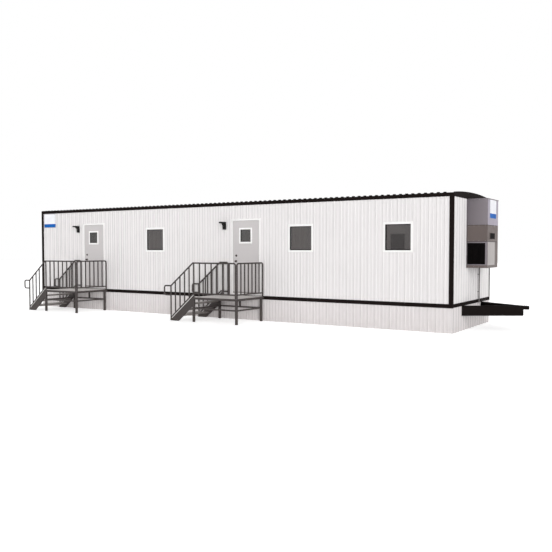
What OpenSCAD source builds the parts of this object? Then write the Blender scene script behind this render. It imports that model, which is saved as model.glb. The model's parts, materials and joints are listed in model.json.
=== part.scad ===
// Portable site cabin: a long steel-clad cabin on a towing chassis, closed in by skirting,
// with two doors that open over metal landings, a wall-hung air unit and a tow hitch.
// Millimetres. X runs along the cabin towards the hitch, the doors face -Y, Z = 0 is the ground.

/* [Cabin body] */
// Length of the cabin box
body_len = 15000; // [14000:100:18000]
// Width of the cabin box
body_w = 3200; // [2600:50:4000]
// Height of the floor above the ground
floor_z = 745; // [715:5:900]
// Thickness of the floor
floor_t = 125; // [100:5:150]
// Height of the room from floor to ceiling
room_h = 2400; // [2330:10:3000]
// Thickness of the walls
wall_t = 100; // [85:5:150]
// Thickness of the ceiling over the room
ceiling_t = 147; // [80:1:250]

/* [Roof and trims] */
// Height of the roof edge along the eaves
eave_h = 108; // [80:1:150]
// Rise of the bowed roof from the eaves to its crown
roof_rise = 74; // [50:2:150]
// How far the trims stand out from the walls
trim_t = 14; // [12:1:20]
// Width of the corner trims on the long walls, and on the end walls at the rear
corner_w = 92; // [60:1:110]
// Width of the corner trims on the end walls at the front
corner_end_w = 30; // [20:1:110]
// Height of the band around the floor edge
band_h = 89; // [60:1:100]
// How far that band hangs over the skirting of the long sides
band_drop = 10; // [0:1:20]
// Height of the trim along the eaves
eave_trim_h = 92; // [60:1:100]
// Thickness of the skirting panels
skirt_t = 30; // [20:1:50]

/* [Doors] */
// Middle of the left door, from the middle of the cabin
door_left_x = -4830; // [-5000:10:-4000]
// Middle of the right door, from the middle of the cabin
door_right_x = 1450; // [1000:10:1500]
// Width of a door leaf
leaf_w = 914; // [750:1:1100]
// Height of a door leaf
leaf_h = 2080; // [1900:1:2150]
// Thickness of a door leaf
leaf_t = 45; // [35:1:50]
// Running gap around a door leaf
leaf_gap = 7; // [6:0.5:10]
// How far the door face stands out from the wall
door_proud = 12; // [10:1:14]
// Width of the door frame bars
jamb_w = 38; // [30:1:60]
// Height of the door sill
sill_h = 13; // [10:1:20]
// Depth of the stop that the leaf closes against
stop_w = 12; // [10:1:16]
// Clear size of the square pane in a door
vision_w = 355; // [250:1:400]
// Middle of that pane above the floor
vision_z = 1675; // [1500:5:1750]
// Width of the trim around that pane
vision_trim_w = 48; // [40:1:70]
// Knob height above the floor
knob_z = 938; // [850:1:1050]
// Bolt height above the knob
bolt_dz = 162; // [140:1:200]
// Distance of the knob from the edge of the leaf
backset = 126; // [60:1:140]

/* [Windows] */
// Middle of the window between the doors, from the middle of the cabin
window_1_x = -2055; // [-2500:5:-1500]
// Middle of the second window
window_2_x = 3275; // [3000:5:3700]
// Distance of the third window from the hitch end
window_3_in = 1405; // [1000:5:1800]
// Width of the glass
pane_w = 684; // [500:1:800]
// Height of the glass
pane_h = 652; // [500:1:800]
// Bottom of the glass above the floor
pane_z = 1258; // [1000:1:1400]
// Width of the window frame bars
frame_w = 50; // [30:1:60]
// Thickness of the glass units
glass_t = 20; // [10:1:28]
// Depth of the glass behind the frame face
glass_in = 30; // [20:1:50]

/* [Chassis and hitch] */
// Depth of the steel beams
beam_h = 248; // [200:1:300]
// Flange width of the steel beams
beam_w = 100; // [80:1:150]
// Distance of the long beams from the middle
beam_y = 1000; // [900:5:1100]
// Length of the hitch beams in front of the wall
hitch_len = 1270; // [1000:10:1500]
// Half width between the outer hitch faces at the wall
hitch_root = 860; // [750:5:900]
// Half width between the outer hitch faces at the nose
hitch_nose = 60; // [50:1:100]
// Thickness of the plate between the hitch beams
web_t = 16; // [12:1:20]
// Length of the coupler in front of the beams
coupler_len = 150; // [130:1:180]
// Width of the coupler
coupler_w = 100; // [90:1:120]
// Height of the coupler
coupler_h = 88; // [75:1:100]
// Radius of the coupler's socket
socket_r = 29.5; // [25:0.5:32]
// Depth of the coupler's socket
socket_deep = 45; // [40:1:50]
// Side of a square support pier
pier_w = 400; // [300:10:450]

/* [Air unit] */
// Depth of the air unit
unit_d = 520; // [400:5:650]
// Width of the air unit
unit_w = 970; // [800:5:1150]
// Height of the air unit
unit_h = 1730; // [1600:5:1850]
// Bottom of the air unit above the floor
unit_z = 815; // [700:5:900]
// Sideways place of the air unit
unit_y = -55; // [-200:5:200]
// Thickness of the side grilles
grille_t = 12; // [8:1:20]
// Radius of the conduit
pipe_r = 14; // [10:1:20]

/* [Landings and stairs] */
// Offset of each landing from its door
landing_dx = -130; // [-150:5:-110]
// Length of a landing along the wall
landing_w = 1524; // [1400:1:1900]
// Reach of a landing from the wall
landing_reach = 1325; // [1200:5:1650]
// Height of the landing
deck_z = 695; // [600:5:700]
// Side of the square legs
leg_w = 58; // [40:1:70]
// Distance of the wall-side legs from the wall
leg_in = 115; // [90:5:200]
// Depth of the landing's edge channel
rim_h = 63; // [55:1:100]
// Thickness of the deck plate
deck_t = 28; // [20:1:35]
// Height of the braces above the ground
brace_z = 380; // [300:5:420]
// Thickness of the braces
brace_w = 40; // [25:1:45]
// Going of one step
going = 203; // [200:1:280]
// Depth of a tread
tread_d = 198; // [150:1:198]
// Thickness of a tread
tread_t = 40; // [25:1:50]
// Width of the stair side plates
stringer_w = 50; // [35:1:50]
// Height of the rail above the landing
rail_h = 950; // [850:5:1100]
// Height of the lower end of the stair rail above the ground
stair_rail_z = 990; // [900:5:1100]
// Radius of the rail tubes
tube_r = 21; // [16:1:24]
// Radius of the bends in the rail
bend_r = 60; // [45:1:70]
// Length of the loop that ends the stair rail
loop_len = 245; // [200:5:300]
// Height of that loop
loop_h = 262; // [200:5:300]
// Side of the square balusters
baluster_w = 27; // [12:1:30]
// Height of the bottom rail above the landing
bottom_rail_z = 105; // [80:5:150]

/* [Lamps, plates and fittings] */
// Distance of each lamp from its door's middle
lamp_dx = -750; // [-800:5:-700]
// Top of the lamps above the floor
lamp_top = 2083; // [1950:1:2150]
// Width of the lamps
lamp_w = 95; // [60:1:120]
// How far the lamp hoods stand out
lamp_reach = 240; // [180:5:300]
// Length of the blank plates
plate_w = 604; // [400:1:650]
// Height of the blank plates
plate_h = 485; // [300:1:500]

/* [Hidden] */
LANDING_PARTS = ["landing_deck", "landing_frame", "front_railing", "side_railing",
    "wall_railing", "stair_stringers", "stair_treads"];
DOOR_PARTS = ["door_frame", "door_leaf", "door_pane", "door_pane_trim", "door_lockset"];
$fn = 48;
door_xs = [door_left_x, door_right_x];
window_xs = [window_1_x, window_2_x, body_len / 2 - window_3_in];
// Heights that follow from the sizes above
floor_bottom = floor_z - floor_t;
beam_bottom = floor_bottom - beam_h;
ceiling_z = floor_z + room_h;
eave_z = ceiling_z + ceiling_t;
roof_r = (pow(body_w / 2, 2) + pow(roof_rise, 2)) / (2 * roof_rise);
crown_z = eave_z + eave_h + roof_rise;
// Faces of the box
x_end = body_len / 2;
y_wall = body_w / 2;
// The frame's origin lies on the ground under the middle of the whole outline
x_shift = -(hitch_len + coupler_len - trim_t) / 2;
y_shift = (landing_reach - trim_t) / 2;
// A hair more than a wall, for cuts that go right through
over = 1;
// Clearance that keeps the solids of one node apart
apart = 2;
// Doors
leaf_z = floor_z + sill_h + leaf_gap;
door_half = leaf_w / 2 + leaf_gap + jamb_w;
door_head = leaf_z + leaf_h + leaf_gap + jamb_w;
hinge_r = 6.5;
hinge_len = 100;
hinge_in = 180;
flap_t = 2;
stop_gap = 6;
spindle_r = 10;
lock_bore_r = 27;
rose_r = 33;
rose_t = 12;
knob_r = 28;
// Windows
outer_w = pane_w + 2 * frame_w;
outer_h = pane_h + 2 * frame_w;
window_z = floor_z + pane_z - frame_w;
// Chassis
cross_inset = 200;
front_cross_x = x_end - cross_inset - beam_w;
crossmembers = 6;
piers_in_a_row = 4;
pier_inset = 1300;
hitch_slope = (hitch_root - hitch_nose) / hitch_len;
beam_across = beam_w * sqrt(1 + pow(hitch_slope, 2));
notch_gap = 10;
// Landings lie against the band around the floor edge
landing_in = trim_t;
// Stairs
risers = 4;
rise = deck_z / risers;
run = going * risers;
stair_slope = rise / going;
edge_x = landing_w / 2;
leg_x = edge_x - leg_w / 2;
y_front_leg = landing_reach - leg_w / 2;
foot_t = 10;
sharp_turn = 60;
weld = 1;
foot_over = 25;
stringer_up = 100;
stringer_down = 240;
corner_gap = 1.5 * tube_r;
wall_rail_y = 50;
wall_post_dx = 62;
wall_post_gap = 193;
elbow_dx = 35;
rail_balusters = 6;
stair_balusters = 4;
stair_foot_x = -edge_x - run;
rail_z = deck_z + rail_h;
base_w = 56;
base_t = 8;
// Lamps and fittings
plate_t = 16;
plate_in = 130;
plate_drop = 10;
panel_x = 4830;
panel_size = [400, 95, 900];
panel_top = 1745;
conduit_gap = 18;

// Places a piece of the cabin in the frame of the whole part
module place() {
    translate([x_shift, y_shift, 0]) children();
}

// A box given by its two ends along each axis
module box(x, y, z) {
    translate([x[0], y[0], z[0]]) cube([x[1] - x[0], y[1] - y[0], z[1] - z[0]]);
}

// Both ends of the cabin: the children are given for the hitch end
module both_ends() {
    children();
    mirror([1, 0, 0]) children();
}

// Both long sides: the children are given for the rear side
module both_sides() {
    children();
    mirror([0, 1, 0]) children();
}

// ---- Chassis, piers and hitch ----
module chassis_beams() {
    place() color("#24201f") both_sides()
        box([-x_end + cross_inset, front_cross_x], [beam_y - beam_w / 2, beam_y + beam_w / 2],
            [beam_bottom, floor_bottom]);
}

module chassis_crossmembers() {
    reach = beam_y - beam_w / 2;
    first_x = -x_end + cross_inset;
    step = (front_cross_x - first_x) / (crossmembers - 1);
    place() color("#24201f") {
        for (i = [0 : crossmembers - 2])
            box([first_x + i * step, first_x + i * step + beam_w], [-reach, reach],
                [beam_bottom, floor_bottom]);
        box([front_cross_x, front_cross_x + beam_w], [-reach - beam_w, reach + beam_w],
            [beam_bottom, floor_bottom]);
    }
}

module support_piers() {
    step = (body_len - 2 * pier_inset) / (piers_in_a_row - 1);
    place() color("#8c8a86") both_sides() for (i = [0 : piers_in_a_row - 1])
        translate([-x_end + pier_inset + i * step - pier_w / 2, beam_y - pier_w / 2, 0])
            cube([pier_w, pier_w, beam_bottom]);
}

// Half width of a hitch beam's outer face at a distance in front of the wall
function hitch_outer(x) = hitch_root - hitch_slope * x;
function hitch_inner(x) = hitch_outer(x) - beam_across;

module hitch_beams() {
    root = -cross_inset;
    meet = (hitch_root - beam_across - web_t / 2) / hitch_slope;
    place() color("#24201f") both_sides() translate([x_end, 0, beam_bottom])
        linear_extrude(height = beam_h) polygon([
            [root, hitch_outer(root)], [root, hitch_inner(root)], [meet, web_t / 2],
            [hitch_len, web_t / 2], [hitch_len, hitch_outer(hitch_len)]]);
}

module hitch_coupler() {
    head_z = floor_bottom - coupler_h;
    web_len = 250;
    round_x = hitch_len + coupler_len - coupler_w / 2;
    place() color("#2a2625") translate([x_end, 0, 0]) difference() {
        union() {
            box([hitch_len - web_len, hitch_len], [-web_t / 2, web_t / 2], [beam_bottom, floor_bottom]);
            box([hitch_len, round_x], [-coupler_w / 2, coupler_w / 2], [head_z, floor_bottom]);
            translate([round_x, 0, head_z]) cylinder(r = coupler_w / 2, h = coupler_h);
        }
        translate([round_x, 0, head_z - over]) cylinder(r = socket_r, h = socket_deep + over);
    }
}

// ---- Floor, ceiling and roof ----
module floor_slab() {
    place() color("#8d8378") box([-x_end, x_end], [-y_wall, y_wall], [floor_bottom, floor_z]);
}

module ceiling_slab() {
    place() color("#e8e6e2") box([-x_end + wall_t, x_end - wall_t],
        [-y_wall + wall_t, y_wall - wall_t], [ceiling_z, eave_z]);
}

// Everything under the bowed top of the roof
module under_bow(x0, x1) {
    translate([x0, 0, crown_z - roof_r]) rotate([0, 90, 0])
        cylinder(r = roof_r, h = x1 - x0, $fn = 720);
}

module roof_bow() {
    place() color("#2b2827") intersection() {
        box([-x_end, x_end], [-y_wall, y_wall], [eave_z, crown_z]);
        under_bow(-x_end - over, x_end + over);
    }
}

module end_fascias() {
    place() color("#262221") both_ends() intersection() {
        box([x_end, x_end + trim_t], [-y_wall, y_wall], [eave_z, crown_z]);
        under_bow(x_end - over, x_end + trim_t + over);
    }
}

module eave_trims() {
    place() color("#262221") both_sides()
        box([-x_end - trim_t, x_end + trim_t], [y_wall, y_wall + trim_t], [eave_z, eave_z + eave_trim_h]);
}

module corner_trims() {
    low = floor_bottom + band_h;
    place() color("#262221") both_ends() {
        both_sides()
            box([x_end - corner_w, x_end + trim_t], [y_wall, y_wall + trim_t], [low, eave_z]);
        box([x_end, x_end + trim_t], [-y_wall - trim_t, -y_wall + corner_end_w], [low, eave_z]);
        box([x_end, x_end + trim_t], [y_wall - corner_w, y_wall + trim_t], [low, eave_z]);
    }
}

module base_band() {
    high = floor_bottom + band_h;
    place() color("#1f1c1b") {
        both_sides() box([-x_end - trim_t, x_end + trim_t], [y_wall, y_wall + trim_t],
            [floor_bottom - band_drop, high]);
        both_ends() box([x_end, x_end + trim_t], [-y_wall + apart, y_wall - apart], [floor_bottom, high]);
    }
}

// ---- Walls ----
// Holes for the windows of one long wall, cut from outside to inside
module window_holes() {
    for (x = window_xs)
        box([x - outer_w / 2, x + outer_w / 2], [-y_wall - over, -y_wall + wall_t + over],
            [window_z, window_z + outer_h]);
}

module front_slab(x, z) {
    box(x, [-y_wall, -y_wall + wall_t], z);
}

module front_wall_left() {
    place() color("#eae7e7") front_slab([-x_end, door_left_x - door_half], [floor_z, eave_z]);
}

module front_wall_middle() {
    place() color("#eae7e7") difference() {
        front_slab([door_left_x + door_half, door_right_x - door_half], [floor_z, eave_z]);
        window_holes();
    }
}

module front_wall_right() {
    place() color("#eae7e7") difference() {
        front_slab([door_right_x + door_half, x_end], [floor_z, eave_z]);
        window_holes();
    }
}

module front_wall_over_doors() {
    place() color("#eae7e7") for (x = door_xs)
        front_slab([x - door_half, x + door_half], [door_head, eave_z]);
}

module rear_wall() {
    place() color("#e6e3e3") mirror([0, 1, 0]) difference() {
        front_slab([-x_end, x_end], [floor_z, eave_z]);
        window_holes();
    }
}

module end_wall() {
    box([x_end - wall_t, x_end], [-y_wall + wall_t, y_wall - wall_t], [floor_z, eave_z]);
}

module left_end_wall() {
    place() color("#e6e3e3") mirror([1, 0, 0]) end_wall();
}

module right_end_wall() {
    place() color("#eae7e7") end_wall();
}

// ---- Skirting ----
module long_skirt() {
    box([-x_end, x_end], [y_wall - skirt_t, y_wall], [0, floor_bottom]);
}

module end_skirt() {
    box([x_end - skirt_t, x_end], [-y_wall + skirt_t, y_wall - skirt_t], [0, floor_bottom]);
}

module front_skirt() {
    place() color("#dedad9") mirror([0, 1, 0]) long_skirt();
}

module rear_skirt() {
    place() color("#dedad9") long_skirt();
}

module left_skirt() {
    place() color("#dedad9") mirror([1, 0, 0]) end_skirt();
}

// The hitch-end skirting is notched around both hitch beams
module right_skirt() {
    place() color("#dedad9") difference() {
        end_skirt();
        both_sides() box([x_end - skirt_t - over, x_end + over],
            [hitch_inner(0) - notch_gap, hitch_outer(-skirt_t) + notch_gap],
            [beam_bottom - notch_gap, floor_bottom + over]);
    }
}

// ---- Windows ----
module window_frames() {
    for (x = window_xs) difference() {
        box([x - outer_w / 2, x + outer_w / 2], [-y_wall - trim_t, -y_wall + wall_t],
            [window_z, window_z + outer_h]);
        box([x - pane_w / 2, x + pane_w / 2], [-y_wall - trim_t - over, -y_wall + wall_t + over],
            [window_z + frame_w, window_z + frame_w + pane_h]);
    }
}

module window_panes() {
    for (x = window_xs)
        box([x - pane_w / 2, x + pane_w / 2],
            [-y_wall - trim_t + glass_in, -y_wall - trim_t + glass_in + glass_t],
            [window_z + frame_w, window_z + frame_w + pane_h]);
}

module front_window_frames() {
    place() color("#f4f3f2") window_frames();
}

module front_window_glass() {
    place() color("#666262") window_panes();
}

module rear_window_frames() {
    place() color("#f4f3f2") mirror([0, 1, 0]) window_frames();
}

module rear_window_glass() {
    place() color("#666262") mirror([0, 1, 0]) window_panes();
}

// ---- Doors: drawn around x = 0 in the plane of the wall's outer face ----
module at_door(i) {
    place() translate([door_xs[i - 1], -y_wall, 0]) children();
}

module door_frame(i) {
    clear_half = leaf_w / 2 + leaf_gap;
    clear_top = leaf_z + leaf_h + leaf_gap;
    stop_y = leaf_t - door_proud + stop_gap;
    at_door(i) color("#f0efee") difference() {
        box([-door_half, door_half], [-door_proud, wall_t], [floor_z, door_head]);
        box([-clear_half, clear_half], [-door_proud - over, stop_y], [floor_z + sill_h, clear_top]);
        box([-clear_half + stop_w, clear_half - stop_w], [stop_y - over, wall_t + over],
            [floor_z + sill_h, clear_top - stop_w]);
    }
}

module door_leaf(i) {
    knob_x = -leaf_w / 2 + backset;
    hole_w = vision_w + vision_trim_w;
    at_door(i) color("#cdcaca") {
        difference() {
            box([-leaf_w / 2, leaf_w / 2], [-door_proud, leaf_t - door_proud], [leaf_z, leaf_z + leaf_h]);
            box([-hole_w / 2, hole_w / 2], [-door_proud - over, leaf_t],
                [floor_z + vision_z - hole_w / 2, floor_z + vision_z + hole_w / 2]);
            for (z = [knob_z, knob_z + bolt_dz])
                translate([knob_x, leaf_t, floor_z + z]) rotate([90, 0, 0])
                    cylinder(r = lock_bore_r, h = leaf_t + door_proud + over);
        }
        for (z = [leaf_z + hinge_in, leaf_z + leaf_h / 2, leaf_z + leaf_h - hinge_in]) {
            translate([leaf_w / 2 + leaf_gap / 2, -door_proud - hinge_r, z - hinge_len / 2])
                cylinder(r = hinge_r, h = hinge_len);
            box([leaf_w / 2, leaf_w / 2 + flap_t], [-door_proud - hinge_r, leaf_t - door_proud],
                [z - hinge_len / 2, z + hinge_len / 2]);
        }
    }
}

module door_pane(i) {
    hole_w = vision_w + vision_trim_w;
    at_door(i) color("#5f5f5d") translate([0, (leaf_t - glass_t) / 2 - door_proud, 0])
        box([-hole_w / 2, hole_w / 2], [0, glass_t],
            [floor_z + vision_z - hole_w / 2, floor_z + vision_z + hole_w / 2]);
}

module door_pane_trim(i) {
    trim_d = 10;
    outer = vision_w / 2 + vision_trim_w;
    inner = vision_w / 2;
    at_door(i) color("#f4f3f2") for (y = [-door_proud - trim_d, leaf_t - door_proud])
        translate([0, y, floor_z + vision_z]) difference() {
            box([-outer, outer], [0, trim_d], [-outer, outer]);
            box([-inner, inner], [-over, trim_d + over], [-inner, inner]);
        }
}

module door_lockset(i) {
    knob_reach = 38;
    bolt_reach = 20;
    inside = leaf_t - door_proud;
    at_door(i) color("#8b8580") translate([-leaf_w / 2 + backset, 0, floor_z + knob_z]) rotate([90, 0, 0]) {
        translate([0, 0, -inside]) cylinder(r = spindle_r, h = leaf_t);
        for (z = [door_proud, -inside - rose_t]) translate([0, 0, z]) cylinder(r = rose_r, h = rose_t);
        for (z = [door_proud + knob_reach, -inside - knob_reach]) translate([0, 0, z]) sphere(r = knob_r);
        translate([0, bolt_dz, -inside]) cylinder(r = spindle_r, h = leaf_t);
        translate([0, bolt_dz, door_proud]) cylinder(r = rose_r - 4, h = bolt_reach);
        translate([0, bolt_dz, -inside - rose_t]) cylinder(r = rose_r, h = rose_t);
    }
}

// ---- Air unit, lamps, plates and fittings ----
module at_unit() {
    place() translate([x_end, unit_y - unit_w / 2, floor_z + unit_z]) children();
}

// Place and size of the grille in a side of the unit, along its depth and its height
grille_x = [20, 467];
grille_z = [93, 624];

module air_unit_housing() {
    at_unit() color("#736e70") difference() {
        cube([unit_d, unit_w, unit_h]);
        for (y = [-over, unit_w - grille_t])
            box(grille_x, [y, y + grille_t + over], grille_z);
    }
}

module air_unit_grilles() {
    at_unit() color("#171313") for (y = [0, unit_w - grille_t])
        box(grille_x, [y, y + grille_t], grille_z);
}

module air_unit_panels() {
    lower_t = 6;
    at_unit() color("#b9b4b2") {
        box([unit_d, unit_d + lower_t], [20, 670], [70, 650]);
        box([unit_d, unit_d + lower_t], [190, 660], [715, 885]);
    }
}

// A tube that follows points in the XY plane: round bends at its corners, or a welded
// elbow where it turns by less than sharp_turn
module bent_tube(points, r, bend) {
    last = len(points) - 1;
    function unit(v) = v / norm(v);
    function dir(i) = unit(points[i + 1] - points[i]);
    function turn(i) = atan2(dir(i - 1)[0] * dir(i)[1] - dir(i - 1)[1] * dir(i)[0], dir(i - 1) * dir(i));
    function bends(i) = i > 0 && i < last && abs(turn(i)) > sharp_turn;
    function setback(i) = bends(i) ? bend * tan(abs(turn(i)) / 2) : 0;
    for (i = [0 : last - 1]) {
        start = points[i] + setback(i) * dir(i);
        length = norm(points[i + 1] - points[i]) - setback(i) - setback(i + 1);
        translate([start[0], start[1], 0]) rotate([0, 0, atan2(dir(i)[1], dir(i)[0])])
            rotate([0, 90, 0]) cylinder(r = r, h = length);
    }
    for (i = [1 : 1 : last - 1]) {
        side = sign(turn(i));
        enter = points[i] - setback(i) * dir(i - 1);
        centre = enter + side * bend * [-dir(i - 1)[1], dir(i - 1)[0]];
        first = atan2(enter[1] - centre[1], enter[0] - centre[0]);
        if (bends(i))
            translate([centre[0], centre[1], 0]) rotate([0, 0, min(first, first + turn(i))])
                rotate_extrude(angle = abs(turn(i))) translate([bend, 0]) circle(r = r);
        else
            translate([points[i][0], points[i][1], 0]) sphere(r = r + weld);
    }
}

// The conduit drops from the far side of the air unit down the wall
module air_unit_conduit() {
    out = trim_t + conduit_gap + pipe_r;
    side_y = unit_y + unit_w / 2;
    drop_y = side_y + 35;
    low = floor_bottom + 20;
    high = floor_z + unit_z + 240;
    clip = [20, 18];
    place() color("#7f7b78") {
        translate([x_end + out, 0, 0]) rotate([0, 0, 90]) rotate([90, 0, 0])
            bent_tube([[drop_y, low], [drop_y, high], [side_y, high]], pipe_r, 20);
        translate([x_end + out, drop_y, low - 20]) cylinder(r = pipe_r + 6, h = 45);
        for (z = [floor_z + 150, floor_z + unit_z - 200])
            box([x_end, x_end + out], [drop_y - clip[0] / 2, drop_y + clip[0] / 2], [z, z + clip[1]]);
    }
}

// Lamp body on the wall with a flat hood over it
module wall_lamps() {
    hood_h = 42;
    body_h = 225;
    body_d = 60;
    place() color("#1c1a1a") for (x = door_xs)
        translate([x + lamp_dx - lamp_w / 2, -y_wall, floor_z + lamp_top]) rotate([90, 0, 90])
            linear_extrude(height = lamp_w) polygon([
                [0, 0], [-lamp_reach, 0], [-lamp_reach, -hood_h], [-lamp_reach / 2, -hood_h - 12],
                [-body_d - 25, -hood_h - 40], [-body_d, -body_h / 2], [-body_d, -body_h], [0, -body_h]]);
}

module blank_plates() {
    thin = 4;
    plate_top = floor_z + unit_z + unit_h - plate_drop;
    place() color("#f2f2f4") {
        box([-x_end + plate_in, -x_end + plate_in + plate_w], [-y_wall - plate_t, -y_wall],
            [eave_z - plate_drop - plate_h, eave_z - plate_drop]);
        box([x_end + unit_d, x_end + unit_d + thin],
            [unit_y - unit_w / 2 + 175, unit_y - unit_w / 2 + 175 + plate_w], [plate_top - plate_h, plate_top]);
    }
}

module breaker_panel() {
    place() color("#4c4a4a")
        translate([panel_x - panel_size[0] / 2, y_wall - wall_t - panel_size[1],
            floor_z + panel_top - panel_size[2]]) cube(panel_size);
}

// ---- Landings and stairs: drawn around x = 0 with the wall's outer face at y = 0 ----
module at_landing(i) {
    place() translate([door_xs[i - 1] + landing_dx, -y_wall, 0]) children();
}

// Turns shapes drawn in the XY plane up into a plane at a distance in front of the wall
module upright(distance) {
    translate([0, -distance, 0]) rotate([90, 0, 0]) children();
}

module landing_deck(i) {
    lip = 6;
    at_landing(i) color("#b5b1af")
        box([-edge_x + lip, edge_x - lip], [-landing_reach + lip, -landing_in - lip], [deck_z - deck_t, deck_z]);
}

module landing_frame(i) {
    lip = 6;
    ledge = leg_w - 10;
    rim_z = deck_z - rim_h;
    brace = [brace_z - brace_w / 2, brace_z + brace_w / 2];
    at_landing(i) color("#4a4645") {
        difference() {
            box([-edge_x, edge_x], [-landing_reach, -landing_in], [rim_z, deck_z]);
            box([-edge_x + lip, edge_x - lip], [-landing_reach + lip, -landing_in - lip],
                [deck_z - deck_t, deck_z + over]);
            for (side = [-1, 1]) translate([side * edge_x / 2, 0, 0])
                box([-edge_x / 2 + ledge * 0.75, edge_x / 2 - ledge * 0.75],
                    [-landing_reach + ledge, -landing_in - ledge], [rim_z - over, deck_z]);
        }
        for (x = [-leg_x, leg_x]) {
            for (y = [-y_front_leg, -leg_in])
                box([x - leg_w / 2, x + leg_w / 2], [y - leg_w / 2, y + leg_w / 2], [0, rim_z]);
            box([x - brace_w / 2, x + brace_w / 2], [-y_front_leg, -leg_in], brace);
        }
        for (y = [-y_front_leg, -leg_in])
            box([-leg_x, leg_x], [y - brace_w / 2, y + brace_w / 2], brace);
        box([-brace_w / 2, brace_w / 2], [-leg_in - brace_w / 2, -leg_in + brace_w / 2], [brace_z, rim_z]);
    }
}

// Square balusters between two posts, from a low to a high line given by their ends
module balusters(x0, x1, count, low, high) {
    for (i = [1 : count]) {
        t = i / (count + 1);
        z0 = low[0] + t * (low[1] - low[0]);
        z1 = high[0] + t * (high[1] - high[0]);
        translate([x0 + t * (x1 - x0) - baluster_w / 2, z0, -baluster_w / 2])
            cube([baluster_w, z1 - z0, baluster_w]);
    }
}

// A post from a base plate on the landing up to the rail
module rail_post(x, top) {
    translate([x, deck_z, 0]) rotate([-90, 0, 0]) cylinder(r = tube_r, h = top - deck_z);
    translate([x - base_w / 2, deck_z, -base_w / 2]) cube([base_w, base_t, base_w]);
}

// Heights of the stair's nosing line and of its rail at a place along the landing
function nose_line(x) = (x - stair_foot_x) * stair_slope;
function rail_line(x) = stair_rail_z + (x - stair_foot_x) * (rail_z - stair_rail_z)
    / (-leg_x - elbow_dx - stair_foot_x);

// The sloped end of a railing, down the stair from the post at x_top
module stair_rail(x_top) {
    post_x = stair_foot_x;
    translate([post_x, foot_t, 0]) rotate([-90, 0, 0]) cylinder(r = tube_r, h = stair_rail_z - foot_t);
    seat = stringer_up + baluster_w / 2 * stair_slope;
    balusters(post_x, x_top, stair_balusters,
        [nose_line(post_x) + seat, nose_line(x_top) + seat], [rail_line(post_x), rail_line(x_top)]);
}

module front_railing(i) {
    x_left = -leg_x;
    x_right = leg_x - corner_gap;
    at_landing(i) color("#4a4645") upright(y_front_leg) {
        bent_tube([[x_right, deck_z], [x_right, rail_z], [x_left - elbow_dx, rail_z],
            [stair_foot_x, stair_rail_z], [stair_foot_x - loop_len, stair_rail_z],
            [stair_foot_x - loop_len, stair_rail_z - loop_h], [stair_foot_x, stair_rail_z - loop_h]],
            tube_r, bend_r);
        rail_post(x_left, rail_z);
        translate([x_left, deck_z + bottom_rail_z, 0]) rotate([0, 90, 0])
            cylinder(r = baluster_w * 0.75, h = x_right - x_left);
        balusters(x_left, x_right, rail_balusters, [1, 1] * (deck_z + bottom_rail_z), [1, 1] * rail_z);
        stair_rail(x_left);
    }
}

module side_railing(i) {
    y_low = -y_front_leg + corner_gap;
    y_high = -wall_rail_y + 10;
    at_landing(i) color("#4a4645") translate([leg_x, 0, 0]) rotate([0, 0, 90]) rotate([90, 0, 0]) {
        bent_tube([[y_low, deck_z], [y_low, rail_z], [y_high, rail_z], [y_high, deck_z]], tube_r, bend_r);
        translate([y_low, deck_z + bottom_rail_z, 0]) rotate([0, 90, 0])
            cylinder(r = baluster_w * 0.75, h = y_high - y_low);
        balusters(y_low, y_high, rail_balusters, [1, 1] * (deck_z + bottom_rail_z), [1, 1] * rail_z);
    }
}

module wall_railing(i) {
    x_post = -leg_x + wall_post_dx;
    x_last = x_post + wall_post_gap;
    at_landing(i) color("#4a4645") upright(wall_rail_y) {
        bent_tube([[x_last, deck_z], [x_last, rail_z], [-leg_x - elbow_dx, rail_z],
            [stair_foot_x, stair_rail_z], [stair_foot_x - loop_len, stair_rail_z],
            [stair_foot_x - loop_len, stair_rail_z - loop_h], [stair_foot_x, stair_rail_z - loop_h]],
            tube_r, bend_r);
        translate([x_post, deck_z, 0]) rotate([-90, 0, 0]) cylinder(r = tube_r, h = rail_h);
        translate([x_post, deck_z + bottom_rail_z, 0]) rotate([0, 90, 0])
            cylinder(r = baluster_w * 0.75, h = wall_post_gap);
        stair_rail(-leg_x);
    }
}

module stair_stringers(i) {
    toe = stair_foot_x + tube_r;
    back = stair_foot_x + stringer_down / stair_slope;
    hook = 40;
    plates = [[y_front_leg, 0], [wall_rail_y, hook]];
    at_landing(i) color("#4a4645") for (plate = plates) upright(plate[0]) {
        translate([0, 0, -stringer_w / 2]) linear_extrude(height = stringer_w) polygon([
            [toe, 0], [back, 0], [-edge_x, nose_line(-edge_x) - stringer_down],
            [-edge_x, deck_z], [-edge_x + plate[1], deck_z],
            [-edge_x + plate[1], nose_line(-edge_x + plate[1]) + stringer_up],
            [toe, nose_line(toe) + stringer_up]]);
        translate([stair_foot_x - foot_over, 0, -base_w / 2])
            cube([back - stair_foot_x + foot_over, foot_t, base_w]);
    }
}

module stair_treads(i) {
    y_far = y_front_leg - stringer_w / 2;
    y_near = wall_rail_y + stringer_w / 2;
    bar_x = stair_foot_x + 45;
    bar_z = 105;
    at_landing(i) color("#7d7876") {
        for (k = [1 : risers - 1])
            box([-edge_x - (risers - k) * going, -edge_x - (risers - k) * going + tread_d], [-y_far, -y_near],
                [k * rise - tread_t, k * rise]);
        box([bar_x - 15, bar_x + 15], [-y_far, -y_near], [bar_z - 15, bar_z + 15]);
    }
}

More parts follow.
